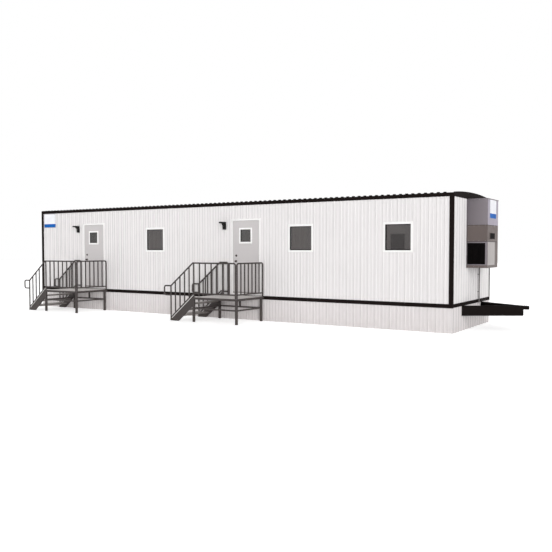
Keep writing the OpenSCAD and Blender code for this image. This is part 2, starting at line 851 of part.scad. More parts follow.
chassis_beams();
chassis_crossmembers();
support_piers();
hitch_beams();
hitch_coupler();
floor_slab();  // floor
ceiling_slab();  // ceiling
roof_bow();  // roof
front_wall_left();
front_wall_middle();
front_wall_right();
front_wall_over_doors();
rear_wall();
left_end_wall();
right_end_wall();
eave_trims();
end_fascias();
corner_trims();
base_band();
front_skirt();
rear_skirt();
left_skirt();
right_skirt();
front_window_frames();
front_window_glass();
rear_window_frames();
rear_window_glass();
air_unit_housing();
air_unit_grilles();
air_unit_panels();
air_unit_conduit();
wall_lamps();
blank_plates();
breaker_panel();
for (i = [1, 2]) {
    door_frame(i);
    door_leaf(i);
    door_pane(i);
    door_pane_trim(i);
    door_lockset(i);
    landing_deck(i);
    landing_frame(i);
    front_railing(i);
    side_railing(i);
    wall_railing(i);
    stair_stringers(i);
    stair_treads(i);
}
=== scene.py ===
import json
import math

import bmesh
import bpy
from mathutils import Matrix, Vector


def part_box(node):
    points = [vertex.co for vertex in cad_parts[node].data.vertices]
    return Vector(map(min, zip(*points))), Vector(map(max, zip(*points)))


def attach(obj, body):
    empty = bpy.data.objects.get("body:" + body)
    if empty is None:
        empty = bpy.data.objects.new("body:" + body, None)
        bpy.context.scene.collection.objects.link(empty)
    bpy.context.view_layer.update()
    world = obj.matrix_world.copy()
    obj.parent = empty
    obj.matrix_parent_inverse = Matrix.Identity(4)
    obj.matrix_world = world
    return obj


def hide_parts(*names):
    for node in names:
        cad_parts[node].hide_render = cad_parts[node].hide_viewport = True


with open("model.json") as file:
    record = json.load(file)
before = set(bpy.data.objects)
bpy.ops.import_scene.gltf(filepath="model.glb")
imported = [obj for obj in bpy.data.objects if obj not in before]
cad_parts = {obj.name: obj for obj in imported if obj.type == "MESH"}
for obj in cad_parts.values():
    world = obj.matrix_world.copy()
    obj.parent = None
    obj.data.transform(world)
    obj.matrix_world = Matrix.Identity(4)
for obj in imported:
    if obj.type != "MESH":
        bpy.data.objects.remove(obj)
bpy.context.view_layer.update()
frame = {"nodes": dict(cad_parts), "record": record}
nodes = frame["nodes"]
print("frame loaded:", len(nodes), "nodes")


# helpers
def color(red, green, blue):
    # 0-255 display values to the linear ones that shaders use
    parts = [c / 255 for c in (red, green, blue)]
    return [c / 12.92 if c <= 0.04045 else ((c + 0.055) / 1.055) ** 2.4 for c in parts] + [1.0]


def addNode(tree, kind, inputs=None, **settings):
    made = tree.nodes.new(kind)
    for name, value in settings.items():
        setattr(made, name, value)
    for name, value in (inputs or {}).items():
        if isinstance(value, bpy.types.NodeSocket):
            tree.links.new(value, made.inputs[name])
        else:
            made.inputs[name].default_value = value
    return made


def result(tree, kind, inputs=None, output=0, **settings):
    return addNode(tree, kind, inputs, **settings).outputs[output]


def meshFrom(name, bm):
    mesh = bpy.data.meshes.new(name)
    bm.to_mesh(mesh)
    bm.free()
    return mesh


def boxes(spans):
    # one mesh of plain boxes, each given by its two corners
    bm = bmesh.new()
    for corners in spans:
        pairs = [sorted(pair) for pair in zip(*corners)]
        middle = Matrix.Translation([(a + b) / 2 for a, b in pairs])
        size = Matrix.Diagonal([b - a for a, b in pairs] + [1])
        bmesh.ops.create_cube(bm, size=1, matrix=middle @ size)
    return meshFrom("boxes", bm)


def prism(outline, low, high):
    # an outline in the XY plane, drawn up between two heights
    bm = bmesh.new()
    bottom, top = ([bm.verts.new((x, y, z)) for x, y in outline] for z in (low, high))
    for k, corner in enumerate(bottom):
        bm.faces.new([bottom[k - 1], corner, top[k], top[k - 1]])
    bm.faces.new(bottom)
    bm.faces.new(top)
    bmesh.ops.recalc_face_normals(bm, faces=bm.faces)
    return meshFrom("prism", bm)


def turned(profile, sides=32):
    # a profile of (radius, height) points turned round the Z axis
    bm = bmesh.new()
    rings = []
    for radius, height in profile:
        if radius < 1e-6:
            rings.append([bm.verts.new((0, 0, height))])
            continue
        angles = [2 * math.pi * k / sides for k in range(sides)]
        rings.append([bm.verts.new((radius * math.cos(a), radius * math.sin(a), height)) for a in angles])
    for below, above in zip(rings, rings[1:]):
        for k in range(sides):
            n = (k + 1) % sides
            if len(below) == 1:
                bm.faces.new([below[0], above[k], above[n]])
            elif len(above) == 1:
                bm.faces.new([below[k], below[n], above[0]])
            else:
                bm.faces.new([below[k], below[n], above[n], above[k]])
    for end in (rings[0], rings[-1]):
        if len(end) > 1:
            bm.faces.new(end)
    bmesh.ops.recalc_face_normals(bm, faces=bm.faces)
    return meshFrom("turned", bm)


def placed(mesh, matrix):
    mesh.transform(matrix)
    if matrix.is_negative:
        mesh.flip_normals()
    return mesh


def move(x, y, z):
    return Matrix.Translation((x, y, z))


def turn(degrees, axis):
    return Matrix.Rotation(math.radians(degrees), 4, axis)


def evaluated(obj):
    # the object's mesh with its modifiers in it; the object itself goes
    graph = bpy.context.evaluated_depsgraph_get()
    mesh = bpy.data.meshes.new_from_object(obj.evaluated_get(graph))
    bpy.data.objects.remove(obj)
    return mesh


def newObject(name, mesh):
    obj = bpy.data.objects.new(name, mesh)
    bpy.context.scene.collection.objects.link(obj)
    return obj


def modified(mesh, kind, **settings):
    obj = newObject("shaping", mesh)
    modifier = obj.modifiers.new("shaping", kind)
    for name, value in settings.items():
        setattr(modifier, name, value)
    return evaluated(obj)


def softEdges(mesh, width, segments=2):
    return modified(mesh, "BEVEL", width=width, segments=segments, limit_method="ANGLE")


def piece(name, meshes, material, body="cabin", slot=None, replaced=()):
    # joins meshes into one finished piece that rides on a body
    bm = bmesh.new()
    for mesh in meshes:
        bm.from_mesh(mesh)
    mesh = meshFrom(name, bm)
    mesh.materials.clear()
    mesh.materials.append(material)
    for face in mesh.polygons:
        face.use_smooth = True
        face.material_index = 0
    mesh.set_sharp_from_angle(angle=math.radians(32))
    obj = newObject(name, mesh)
    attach(obj, body)
    if replaced:
        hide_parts(*replaced)
    return obj


def solidsOf(name, axis, gap):
    # the boxes of a node's separate solids, parted where no point lies for a gap along an axis
    points = sorted((v.co.copy() for v in nodes[name].data.vertices), key=lambda p: p[axis])
    groups = [[points[0]]]
    for point in points[1:]:
        if point[axis] - groups[-1][-1][axis] > gap:
            groups.append([])
        groups[-1].append(point)
    return [(Vector([min(p[k] for p in g) for k in range(3)]),
             Vector([max(p[k] for p in g) for k in range(3)])) for g in groups]


# materials
def startMaterial(name, roughness=0.5, metallic=0.0, specular=None):
    material = bpy.data.materials.new(name)
    material.use_nodes = True
    tree = material.node_tree
    shader = tree.nodes["Principled BSDF"]
    shader.inputs["Roughness"].default_value = roughness
    shader.inputs["Metallic"].default_value = metallic
    if specular is not None:
        shader.inputs["Specular IOR Level"].default_value = specular
    return material, tree, shader, result(tree, "ShaderNodeTexCoord", output="Object")


def noise(tree, coords, scale, detail=3.0, stretch=(1, 1, 1)):
    spread = result(tree, "ShaderNodeMapping", {"Vector": coords, "Scale": stretch})
    return result(tree, "ShaderNodeTexNoise", {"Vector": spread, "Scale": scale, "Detail": detail})


def remap(tree, value, fromLow, fromHigh, low=0.0, high=1.0):
    return result(tree, "ShaderNodeMapRange", {
        "Value": value, "From Min": fromLow, "From Max": fromHigh, "To Min": low, "To Max": high})


def cloud(tree, coords, pattern, low=0.0, high=1.0):
    # noise of a scale, a detail and a stretch, spread over its usual range
    return remap(tree, noise(tree, coords, *pattern), 0.3, 0.7, low, high)


def mixed(tree, share, first, second):
    mix = addNode(tree, "ShaderNodeMix", data_type="RGBA")
    for socket, value in zip((mix.inputs[0], mix.inputs[6], mix.inputs[7]), (share, first, second)):
        if isinstance(value, bpy.types.NodeSocket):
            tree.links.new(value, socket)
        else:
            socket.default_value = value
    return mix.outputs[2]


def mathNode(tree, operation, first, second=0.0):
    return result(tree, "ShaderNodeMath", {0: first, 1: second}, operation=operation)


def partOf(tree, coords, axis):
    return result(tree, "ShaderNodeSeparateXYZ", {"Vector": coords}, axis)


def shaded(base, factor):
    return [c * factor for c in base[:3]] + [1.0]


def shades(base, dark, light):
    return shaded(base, dark), shaded(base, light)


def addBump(tree, shader, height, distance):
    normal = result(tree, "ShaderNodeBump", {"Height": height, "Distance": distance, "Strength": 1.0})
    tree.links.new(normal, shader.inputs["Normal"])


coatSizes = {
    "slow": (0.9, 4),       # patterns: scale, detail and stretch
    "rain": (3.0, 5, (3.2, 3.2, 0.16)),
    "wear": (7.0, 4),
    "dirt": (5.0, 6),
    "chips": (38.0, 8),
    "skin": (260.0, 2),
    "skinDepth": 0.0004,
    "rainTone": 0.72,       # shades of the coat's own color
    # tone of the painted shade beside ribs and near a wall
    "shadeTone": 0.55,
    "dirtTop": 0.42,        # height where the dirt has thinned out
    "dirtColor": color(139, 128, 116),
    "chipColor": color(132, 122, 116),
}


def ribShadeShare(tree, coords, axis, place, pitch, near, far, ends, shares):
    # painted shade along both feet of every rib: place of one rib, pitch, from and to beside its middle,
    # and its depth at the low and at the high end of the wall
    along = partOf(tree, coords, axis)
    steps = mathNode(tree, "DIVIDE", mathNode(tree, "SUBTRACT", along, place), pitch)
    beside = mathNode(tree, "MULTIPLY", mathNode(tree, "PINGPONG", steps, 0.5), pitch)
    line = mathNode(tree, "MULTIPLY", mathNode(tree, "GREATER_THAN", beside, near),
                    mathNode(tree, "LESS_THAN", beside, far))
    uneven = cloud(tree, coords, (1.7, 4), 0.55, 1.2)
    share = mathNode(tree, "MULTIPLY", uneven, remap(tree, along, *ends, *shares))
    return mathNode(tree, "MULTIPLY", line, share)


def paintedMetal(name, base, roughness=0.42, spread=0.05, streaks=0.0, grime=0.0, chips=0.0, gloss=0.4,
                 ribs=None, shadeFade=None):
    # a coat of paint: slow shade changes, rain streaks, dirt that thins out upwards, small worn chips,
    # painted shade beside ribs and painted shade fading along an axis
    sizes = coatSizes
    material, tree, shader, coords = startMaterial(name, specular=gloss)
    paint = mixed(tree, cloud(tree, coords, sizes["slow"]), *shades(base, 1 - spread, 1 + spread))
    shadeColor = shaded(base, sizes["shadeTone"])
    if streaks:
        rain = remap(tree, noise(tree, coords, *sizes["rain"]), 0.52, 0.78, 0, streaks)
        paint = mixed(tree, rain, paint, shaded(base, sizes["rainTone"]))
    # painted shade along the feet of the ribs
    if ribs:
        paint = mixed(tree, ribShadeShare(tree, coords, *ribs), paint, shadeColor)
    if shadeFade:
        # painted shade that fades out along an axis: axis, from, to, share
        axis, start, end, share = shadeFade
        paint = mixed(tree, remap(tree, partOf(tree, coords, axis), start, end, share, 0), paint, shadeColor)
    if grime:
        low = remap(tree, partOf(tree, coords, "Z"), 0.0, sizes["dirtTop"], grime, 0.0)
        patches = remap(tree, noise(tree, coords, *sizes["dirt"]), 0.35, 0.65, 0.25, 1)
        paint = mixed(tree, mathNode(tree, "MULTIPLY", low, patches), paint, sizes["dirtColor"])
    if chips:
        spots = remap(tree, noise(tree, coords, *sizes["chips"]), 0.66, 0.70, 0, chips)
        paint = mixed(tree, spots, paint, mixed(tree, 0.5, shaded(base, 1.0), sizes["chipColor"]))
    tree.links.new(paint, shader.inputs["Base Color"])
    worn = cloud(tree, coords, sizes["wear"], roughness - 0.05, roughness + 0.08)
    tree.links.new(worn, shader.inputs["Roughness"])
    addBump(tree, shader, noise(tree, coords, *sizes["skin"]), sizes["skinDepth"])
    return material


def bareMetal(name, base, roughness=0.35, brushed=(1, 1, 1), spangle=0.0):
    material, tree, shader, coords = startMaterial(name, metallic=0.85)
    lines = noise(tree, coords, 90.0, 4, brushed)
    tone = mixed(tree, remap(tree, lines, 0.3, 0.7), *shades(base, 0.86, 1.12))
    if spangle:
        cells = result(tree, "ShaderNodeTexVoronoi", {"Vector": coords, "Scale": 45.0})
        tone = mixed(tree, remap(tree, cells, 0.1, 0.8, 0, spangle), tone, shaded(base, 1.3))
    tree.links.new(tone, shader.inputs["Base Color"])
    worn = remap(tree, lines, 0.3, 0.7, roughness - 0.08, roughness + 0.12)
    tree.links.new(worn, shader.inputs["Roughness"])
    addBump(tree, shader, lines, 0.0002)
    return material


def tintedGlass(name, base, cover):
    # smoked glass: its own tone over a little of the room behind, and a slight gloss
    material, tree, shader, coords = startMaterial(name, roughness=0.06, specular=0.15)
    shader.inputs["Alpha"].default_value = cover
    tone = mixed(tree, cloud(tree, coords, (2.2, 3)), *shades(base, 0.94, 1.06))
    tree.links.new(tone, shader.inputs["Base Color"])
    dust = remap(tree, noise(tree, coords, 30.0, 5), 0.35, 0.7, 0.04, 0.16)
    tree.links.new(dust, shader.inputs["Roughness"])
    return material


def twoTone(name, tones, roughness, pattern, bump=None, span=(0.3, 0.7)):
    # a surface that wanders between two tones; bump: its pattern and its depth
    material, tree, shader, coords = startMaterial(name, roughness)
    share = remap(tree, noise(tree, coords, *pattern), *span)
    tree.links.new(mixed(tree, share, *tones), shader.inputs["Base Color"])
    if bump:
        addBump(tree, shader, noise(tree, coords, *bump[0]), bump[1])
    return material


def blankPlate(name, barTop):
    # a white plate with a plain blue bar along its foot
    material, tree, shader, coords = startMaterial(name, roughness=0.45, specular=0.05)
    faded = cloud(tree, coords, (4.0, 4))
    white = mixed(tree, faded, color(240, 240, 246), color(250, 250, 253))
    blue = mixed(tree, faded, color(16, 90, 172), color(26, 102, 186))
    bar = mathNode(tree, "LESS_THAN", partOf(tree, coords, "Z"), barTop)
    tree.links.new(mixed(tree, bar, white, blue), shader.inputs["Base Color"])
    addBump(tree, shader, noise(tree, coords, 90.0, 2), 0.0003)
    return material


# the four sides of the box
# Each side has its own space: X to the right as seen from outside, -Y outwards, Z up
boxLow = Vector((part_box("left_end_wall")[0].x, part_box("front_wall_left")[0].y, 0))
boxHigh = Vector((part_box("right_end_wall")[1].x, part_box("rear_wall")[1].y, 0))
middleX, middleY = (boxLow.x + boxHigh.x) / 2, (boxLow.y + boxHigh.y) / 2
halfLong, halfWide = (boxHigh.x - boxLow.x) / 2, (boxHigh.y - boxLow.y) / 2
sideSpace = {
    "front": move(middleX, boxLow.y, 0),
    "right": move(boxHigh.x, middleY, 0) @ turn(90, "Z"),
    "rear": move(middleX, boxHigh.y, 0) @ turn(180, "Z"),
    "left": move(boxLow.x, middleY, 0) @ turn(-90, "Z"),
}
halfSpan = {"front": halfLong, "rear": halfLong, "right": halfWide, "left": halfWide}
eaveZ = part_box("eave_trims")[0].z
floorFoot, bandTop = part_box("floor")[0].z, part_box("base_band")[1].z

claddingSizes = {
    "sheet": 0.002,         # thickness of the flat sheet
    "pitch": 0.2,           # from one tall rib to the next
    "phase": 0.103,         # place of a tall rib from the middle of a wall
    "tallRib": (0.052, 0.022, 0.0115),   # foot, crest and depth
    "lowRib": (0.030, 0.012, 0.006),
    "shadeWidth": 0.020,     # of the painted shade lines beside the tall ribs
    "screwRadius": 0.005,
    "screwInset": 0.035,    # rows of screws, from the sheet's upper and lower edges
    "trimLong": 0.092,      # what the corner trims cover of a long wall
    "trimEnd": 0.030,
}


def ribShadeLines(side, shares):
    # where painted shade lies beside the tall ribs: the front and the rear share their places, and so do the
    # ends
    sizes = claddingSizes
    axis, middle, half = ("X", middleX, halfLong) if side == "front" else ("Y", middleY, halfWide)
    foot = sizes["tallRib"][0] / 2
    return (axis, middle + sizes["phase"], sizes["pitch"], foot - 0.003, foot + sizes["shadeWidth"],
            (middle - half, middle + half), shares)


plyGrain = (9.0, 8, (0.5, 9.0, 6.0))
finish = {
    # siding and skirting: painted shade along the feet of their ribs, deeper towards the -X end of the long
    # walls
    "siding": paintedMetal("siding_paint", color(235, 232, 232), 0.5, 0.015, streaks=0.10, gloss=0.25,
                           ribs=ribShadeLines("front", (0.75, 0.02))),
    "endSiding": paintedMetal("end_siding_paint", color(235, 232, 232), 0.5, 0.015, streaks=0.10, gloss=0.2,
                              ribs=ribShadeLines("right", (0.85, 0.85))),
    "skirting": paintedMetal("skirting_paint", color(226, 221, 221), 0.55, 0.02, streaks=0.12, grime=0.12,
                             gloss=0.2, ribs=ribShadeLines("front", (0.50, 0.06))),
    "endSkirting": paintedMetal("end_skirting_paint", color(226, 221, 221), 0.55, 0.02, streaks=0.12,
                                grime=0.12, gloss=0.15, ribs=ribShadeLines("right", (0.85, 0.85))),
    "blackTrim": paintedMetal("black_trim_paint", color(30, 25, 24), 0.42, 0.12, chips=0.05, gloss=0.005),
    "roofSheet": paintedMetal("roof_paint", color(34, 30, 29), 0.5, 0.14, streaks=0.12, gloss=0.01),
    "whiteFrame": paintedMetal("white_frame_paint", color(250, 249, 248), 0.35, 0.01),
    "doorPaint": paintedMetal("door_paint", color(204, 200, 200), 0.42, 0.02, streaks=0.06, gloss=0.25),
    "chassis": paintedMetal("chassis_paint", color(30, 26, 25), 0.5, 0.15, grime=0.04, chips=0.12,
                            gloss=0.005),
    "stairSteel": paintedMetal("stair_powder_coat", color(74, 69, 68), 0.5, 0.08, grime=0.08, chips=0.10,
                               gloss=0.12),
    # painted shade on the housing, darkest at the wall and fading out half a metre from it
    "unitHousing": paintedMetal("unit_paint", color(137, 130, 135), 0.5, 0.04, streaks=0.10, gloss=0.2,
                                shadeFade=("X", boxHigh.x, boxHigh.x + 0.5, 0.75)),
    "unitMiddle": paintedMetal("unit_middle_paint", color(108, 98, 95), 0.5, 0.04, streaks=0.08, gloss=0.2),
    # painted light: the front covers are lighter than the sides, for the light that falls on the front
    "unitFrontLit": paintedMetal("unit_front_lit_paint", color(166, 159, 172), 0.45, 0.03, streaks=0.08, gloss=0.2),
    "unitPanelLit": paintedMetal("unit_panel_lit_paint", color(178, 172, 170), 0.45, 0.025, streaks=0.06, gloss=0.2),
    "unitGrille": paintedMetal("grille_black", color(14, 11, 11), 0.6, 0.15, gloss=0.05),
    "lampBody": paintedMetal("lamp_black", color(22, 20, 20), 0.4, 0.12, gloss=0.12),
    "panelBox": paintedMetal("panel_box_grey", color(74, 71, 71), 0.5, 0.05),
    "lockMetal": bareMetal("lock_satin", color(92, 86, 84), 0.4, (1, 1, 14)),
    "darkLock": bareMetal("lock_worn_bronze", color(66, 56, 55), 0.42, (1, 1, 14)),
    # painted highlight along the top edge of the stair side plates, with a few chips
    "plateHighlight": paintedMetal("plate_highlight_paint", color(246, 244, 242), 0.5, 0.02, chips=0.2, gloss=0.2),
    "plateRim": bareMetal("plate_edge_metal", color(168, 166, 170), 0.45),
    "screwMetal": bareMetal("screw_zinc", color(190, 188, 184), 0.4),
    "conduit": paintedMetal("conduit_grey", color(106, 102, 101), 0.45, 0.05, streaks=0.1, gloss=0.15),
    "deckPlate": bareMetal("deck_aluminium", color(196, 192, 190), 0.5, (1, 6, 1), spangle=0.3),
    "treadMetal": bareMetal("tread_aluminium", color(150, 145, 142), 0.5, (1, 6, 1), spangle=0.3),
    "windowGlass": tintedGlass("window_glass", color(84, 81, 81), 0.45),
    "doorGlass": tintedGlass("door_glass", color(78, 79, 78), 0.5),
    "darkSash": paintedMetal("dark_sash", color(34, 31, 31), 0.5, 0.08, gloss=0.01),
    "seal": twoTone("black_seal", shades(color(24, 23, 23), 0.8, 1.3), 0.7, (24.0, 4), ((400.0, 2), 0.0003)),
    "floorDeck": twoTone("floor_plywood", shades(color(150, 136, 120), 0.7, 1.25), 0.6, plyGrain,
                         (plyGrain, 0.0008), (0.35, 0.65)),
    "pier": twoTone("pier_concrete", shades(color(146, 143, 138), 0.75, 1.15), 0.9, (4.0, 5),
                    ((60.0, 6), 0.004)),
    "lining": twoTone("room_lining", shades(color(222, 220, 216), 0.93, 1.04), 0.75, (1.6, 4),
                      ((120.0, 3), 0.0008)),
    "lens": twoTone("lamp_lens", (color(205, 203, 192), color(228, 226, 216)), 0.35, (60.0, 3)),
}
print("materials made:", len(finish))


# geometry trees
def newTree(name, lengths, others=None):
    # a tree with named inputs: lengths are plain numbers, others have a kind of their own
    tree = bpy.data.node_groups.new(name, "GeometryNodeTree")
    kinds = {"Points": "Geometry", **dict.fromkeys(lengths, "Float"), **(others or {}),
             "Material": "Material"}
    for label, kind in kinds.items():
        tree.interface.new_socket(label, in_out="INPUT", socket_type="NodeSocket" + kind)
    tree.interface.new_socket("Shape", in_out="OUTPUT", socket_type="NodeSocketGeometry")
    return tree, addNode(tree, "NodeGroupInput").outputs


def endTree(tree, given, shape):
    whole = result(tree, "GeometryNodeRealizeInstances", {"Geometry": shape})
    painted = result(tree, "GeometryNodeSetMaterial", {"Geometry": whole, "Material": given["Material"]})
    addNode(tree, "NodeGroupOutput", {0: painted})
    return tree


def vector(tree, x=0.0, y=0.0, z=0.0):
    return result(tree, "ShaderNodeCombineXYZ", {"X": x, "Y": y, "Z": z})


def ownPlace(tree):
    place = result(tree, "GeometryNodeInputPosition")
    return addNode(tree, "ShaderNodeSeparateXYZ", {"Vector": place}).outputs


def onPoints(tree, points, shape, turned=None):
    inputs = {"Points": points, "Instance": shape}
    if turned:
        inputs["Rotation"] = turned
    return result(tree, "GeometryNodeInstanceOnPoints", inputs)


def makeRibTree():
    # upright ribs with sloping flanks, one on each point, standing out towards -Y
    tree, given = newTree("upright_ribs", ("Height", "Foot Width", "Crest Width", "Depth"))
    bar = result(tree, "GeometryNodeMeshCube", {
        "Size": vector(tree, given["Foot Width"], given["Depth"], given["Height"])})
    x, y, z = ownPlace(tree)
    narrow = mathNode(tree, "DIVIDE", given["Crest Width"], given["Foot Width"])
    bar = result(tree, "GeometryNodeSetPosition", {
        "Geometry": bar, "Selection": mathNode(tree, "LESS_THAN", y, 0.0),
        "Position": vector(tree, mathNode(tree, "MULTIPLY", x, narrow), y, z)})
    lift = vector(tree, 0.0, mathNode(tree, "MULTIPLY", given["Depth"], -0.5),
                  mathNode(tree, "MULTIPLY", given["Height"], 0.5))
    bar = result(tree, "GeometryNodeTransform", {"Geometry": bar, "Translation": lift})
    return endTree(tree, given, onPoints(tree, given["Points"], bar))


def makeStudTree():
    # round or six-sided heads, one on each point, all turned one way
    tree, given = newTree("studs", ("Foot Radius", "Top Radius", "Height"),
                          {"Sides": "Int", "Rotation": "Rotation"})
    stud = result(tree, "GeometryNodeMeshCone", {
        "Vertices": given["Sides"], "Radius Bottom": given["Foot Radius"],
        "Radius Top": given["Top Radius"], "Depth": given["Height"]})
    return endTree(tree, given, onPoints(tree, given["Points"], stud, given["Rotation"]))


def makeLouvreTree():
    # sloping blades one above another, from the point upwards, standing out towards -Y
    tree, given = newTree("louvre_blades", ("Pitch", "Width", "Blade Depth", "Thickness", "Tilt"),
                          {"Blades": "Int"})
    line = result(tree, "GeometryNodeMeshLine", {
        "Count": given["Blades"], "Offset": vector(tree, 0.0, 0.0, given["Pitch"])})
    blade = result(tree, "GeometryNodeMeshCube", {
        "Size": vector(tree, given["Width"], given["Blade Depth"], given["Thickness"])})
    tilted = result(tree, "GeometryNodeTransform", {
        "Geometry": blade, "Rotation": vector(tree, given["Tilt"])})
    return endTree(tree, given, onPoints(tree, given["Points"], onPoints(tree, line, tilted)))


def makeRoofTree():
    # a bowed sheet whose ribs cross the roof, closed at its edges and below
    tree, given = newTree("bowed_ribbed_sheet", (
        "Length", "Width", "Bow Radius", "Crown", "Pitch", "Rib Depth", "Thickness"),
        {"Columns": "Int", "Rows": "Int"})
    sheet = result(tree, "GeometryNodeMeshGrid", {
        "Size X": given["Length"], "Size Y": given["Width"],
        "Vertices X": given["Columns"], "Vertices Y": given["Rows"]})
    x, y, _ = ownPlace(tree)
    across, radius = (mathNode(tree, "POWER", value, 2.0) for value in (y, given["Bow Radius"]))
    bow = mathNode(tree, "SQRT", mathNode(tree, "SUBTRACT", radius, across))
    drop = mathNode(tree, "SUBTRACT", given["Bow Radius"], bow)
    wave = mathNode(tree, "PINGPONG", mathNode(tree, "DIVIDE", x, given["Pitch"]), 0.5)
    valley = result(tree, "ShaderNodeMapRange", {"Value": wave, "From Min": 0.17, "From Max": 0.33},
                    interpolation_type="SMOOTHSTEP")
    sunk = mathNode(tree, "MULTIPLY", valley, given["Rib Depth"])
    height = mathNode(tree, "SUBTRACT", mathNode(tree, "SUBTRACT", given["Crown"], drop), sunk)
    sheet = result(tree, "GeometryNodeSetPosition", {
        "Geometry": sheet, "Position": vector(tree, x, y, height)})
    under = result(tree, "GeometryNodeExtrudeMesh", {
        "Mesh": sheet, "Offset": vector(tree, 0.0, 0.0, -1.0), "Offset Scale": given["Thickness"],
        "Individual": False})
    both = addNode(tree, "GeometryNodeJoinGeometry")
    tree.links.new(sheet, both.inputs["Geometry"])
    tree.links.new(result(tree, "GeometryNodeFlipFaces", {"Mesh": under}), both.inputs["Geometry"])
    closed = result(tree, "GeometryNodeMergeByDistance", {
        "Geometry": both.outputs["Geometry"], "Distance": 0.0001})
    return endTree(tree, given, closed)


ribTree = makeRibTree()
studTree = makeStudTree()
louvreTree = makeLouvreTree()
roofTree = makeRoofTree()


def grown(tree, points, values):
    # runs a tree on points and gives back a plain mesh
    mesh = bpy.data.meshes.new("points")
    mesh.from_pydata([tuple(p) for p in points], [], [])
    obj = newObject("growing", mesh)
    modifier = obj.modifiers.new("growing", "NODES")
    modifier.node_group = tree
    for item in tree.interface.items_tree:
        if item.in_out == "INPUT" and item.name in values:
            modifier[item.identifier] = values[item.name]
    return evaluated(obj)


outwards = {"front": (90, 0, 0), "right": (0, 90, 0), "rear": (-90, 0, 0), "left": (0, -90, 0),
            "up": (0, 0, 0)}


def studs(points, facing, radius, height, material, sides=8, top=0.7):
    return grown(studTree, points, {
        "Sides": sides, "Foot Radius": radius, "Top Radius": radius * top, "Height": height,
        "Rotation": [math.radians(a) for a in outwards[facing]], "Material": material})


def boxPiece(name, spans, look, edge=0.0, segments=2, space=None, **rest):
    # a piece of plain boxes with softened edges, placed in a space of its own
    mesh = softEdges(boxes(spans), edge, segments) if edge else boxes(spans)
    return piece(name, [placed(mesh, space or Matrix())], finish[look], **rest)


def screwPiece(name, groups, radius, height, space=None, **rest):
    # screw heads on points, for each way that they face
    heads = [studs(points, facing, radius, height, finish["screwMetal"]) for facing, points in groups.items()]
    return piece(name, [placed(mesh, space or Matrix()) for mesh in heads], finish["screwMetal"], **rest)


print("geometry trees made")


def inSide(side, low, high):
    # a box of the whole cabin, in one side's space
    back = sideSpace[side].inverted()
    a, b = back @ Vector(low), back @ Vector(high)
    return Vector(map(min, a, b)), Vector(map(max, a, b))


def ring(left, right, low, high, near, far, width):
    # four bars round a rectangle, inside it; near and far are their ends in depth
    foot, head = low + width, high - width
    return [((left, near, low), (right, far, foot)), ((left, near, head), (right, far, high)),
            ((left, near, foot), (left + width, far, head)),
            ((right - width, near, foot), (right, far, head))]


doorHoles = [inSide("front", *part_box(f"door_frame_{i}")) for i in (1, 2)]
windowHoles = {side: [inSide(side, *solid) for solid in solidsOf(f"{side}_window_frames", 0, 1.0)]
               for side in ("front", "rear")}
openings = {"front": doorHoles + windowHoles["front"], "rear": windowHoles["rear"], "left": [], "right": []}


def freeHeights(place, half, low, high, holes):
    # the stretches of height where an upright of this half width meets no hole
    stretches = [(low, high)]
    for holeLow, holeHigh in holes:
        if place + half <= holeLow.x or place - half >= holeHigh.x:
            continue
        cut = []
        for a, b in stretches:
            cut += [(a, min(b, holeLow.z)), (max(a, holeHigh.z), b)]
        stretches = [(a, b) for a, b in cut if b - a > 0.01]
    return stretches


def flatSheet(left, right, low, high, holes, thickness):
    xs = sorted({left, right, *[p.x for h in holes for p in h if left < p.x < right]})
    zs = sorted({low, high, *[p.z for h in holes for p in h if low < p.z < high]})
    bm = bmesh.new()
    corner = {(i, k): bm.verts.new((x, 0, z)) for i, x in enumerate(xs) for k, z in enumerate(zs)}
    for i in range(len(xs) - 1):
        for k in range(len(zs) - 1):
            x, z = (xs[i] + xs[i + 1]) / 2, (zs[k] + zs[k + 1]) / 2
            if not any(a.x < x < b.x and a.z < z < b.z for a, b in holes):
                bm.faces.new([corner[i, k], corner[i + 1, k], corner[i + 1, k + 1], corner[i, k + 1]])
    bmesh.ops.delete(bm, geom=[v for v in bm.verts if not v.link_faces], context="VERTS")
    return modified(meshFrom("sheet", bm), "SOLIDIFY", thickness=thickness, offset=1.0)


def ribbedCladding(name, side, reach, low, high, holes, material, slot):
    sizes = claddingSizes
    meshes = [flatSheet(-reach, reach, low, high, holes, sizes["sheet"])]
    for (foot, crest, depth), shift in ((sizes["tallRib"], 0), (sizes["lowRib"], sizes["pitch"] / 2)):
        bays = {}
        phase = sizes["phase"] * (1 if side in ("front", "right") else -1) + shift
        first = math.ceil((-reach + foot / 2 - phase) / sizes["pitch"])
        place = phase + first * sizes["pitch"]
        while place + foot / 2 <= reach:
            for stretch in freeHeights(place, foot / 2, low, high, holes):
                bays.setdefault(stretch, []).append((place, -sizes["sheet"], stretch[0]))
            place += sizes["pitch"]
        for (a, b), points in bays.items():
            meshes.append(grown(ribTree, points, {
                "Height": b - a, "Foot Width": foot, "Crest Width": crest, "Depth": depth,
                "Material": material}))
    screws = []
    for k in range(math.ceil(-reach / sizes["pitch"]) + 1, math.floor(reach / sizes["pitch"])):
        place = sizes["phase"] + (k + 0.25) * sizes["pitch"]
        for z in (low + sizes["screwInset"], high - sizes["screwInset"]):
            if not any(a.x < place < b.x and a.z < z < b.z for a, b in holes):
                screws.append((place, -sizes["sheet"], z))
    meshes.append(studs(screws, "front", sizes["screwRadius"], 0.0025, material, sides=6))
    for mesh in meshes:
        mesh.transform(sideSpace[side])
    piece(name, meshes, material, slot=slot)


def notchesOf(name, side):
    # the two notches in a notched skirt, read from its own corners
    back = sideSpace[side].inverted()
    points = [back @ v.co for v in nodes[name].data.vertices]
    xs = sorted({round(p.x, 4) for p in points})
    zs = sorted({round(p.z, 4) for p in points})
    return [(Vector((xs[k], 0, zs[1])), Vector((xs[k + 1], 0, zs[-1] + 0.001))) for k in (1, 3)]


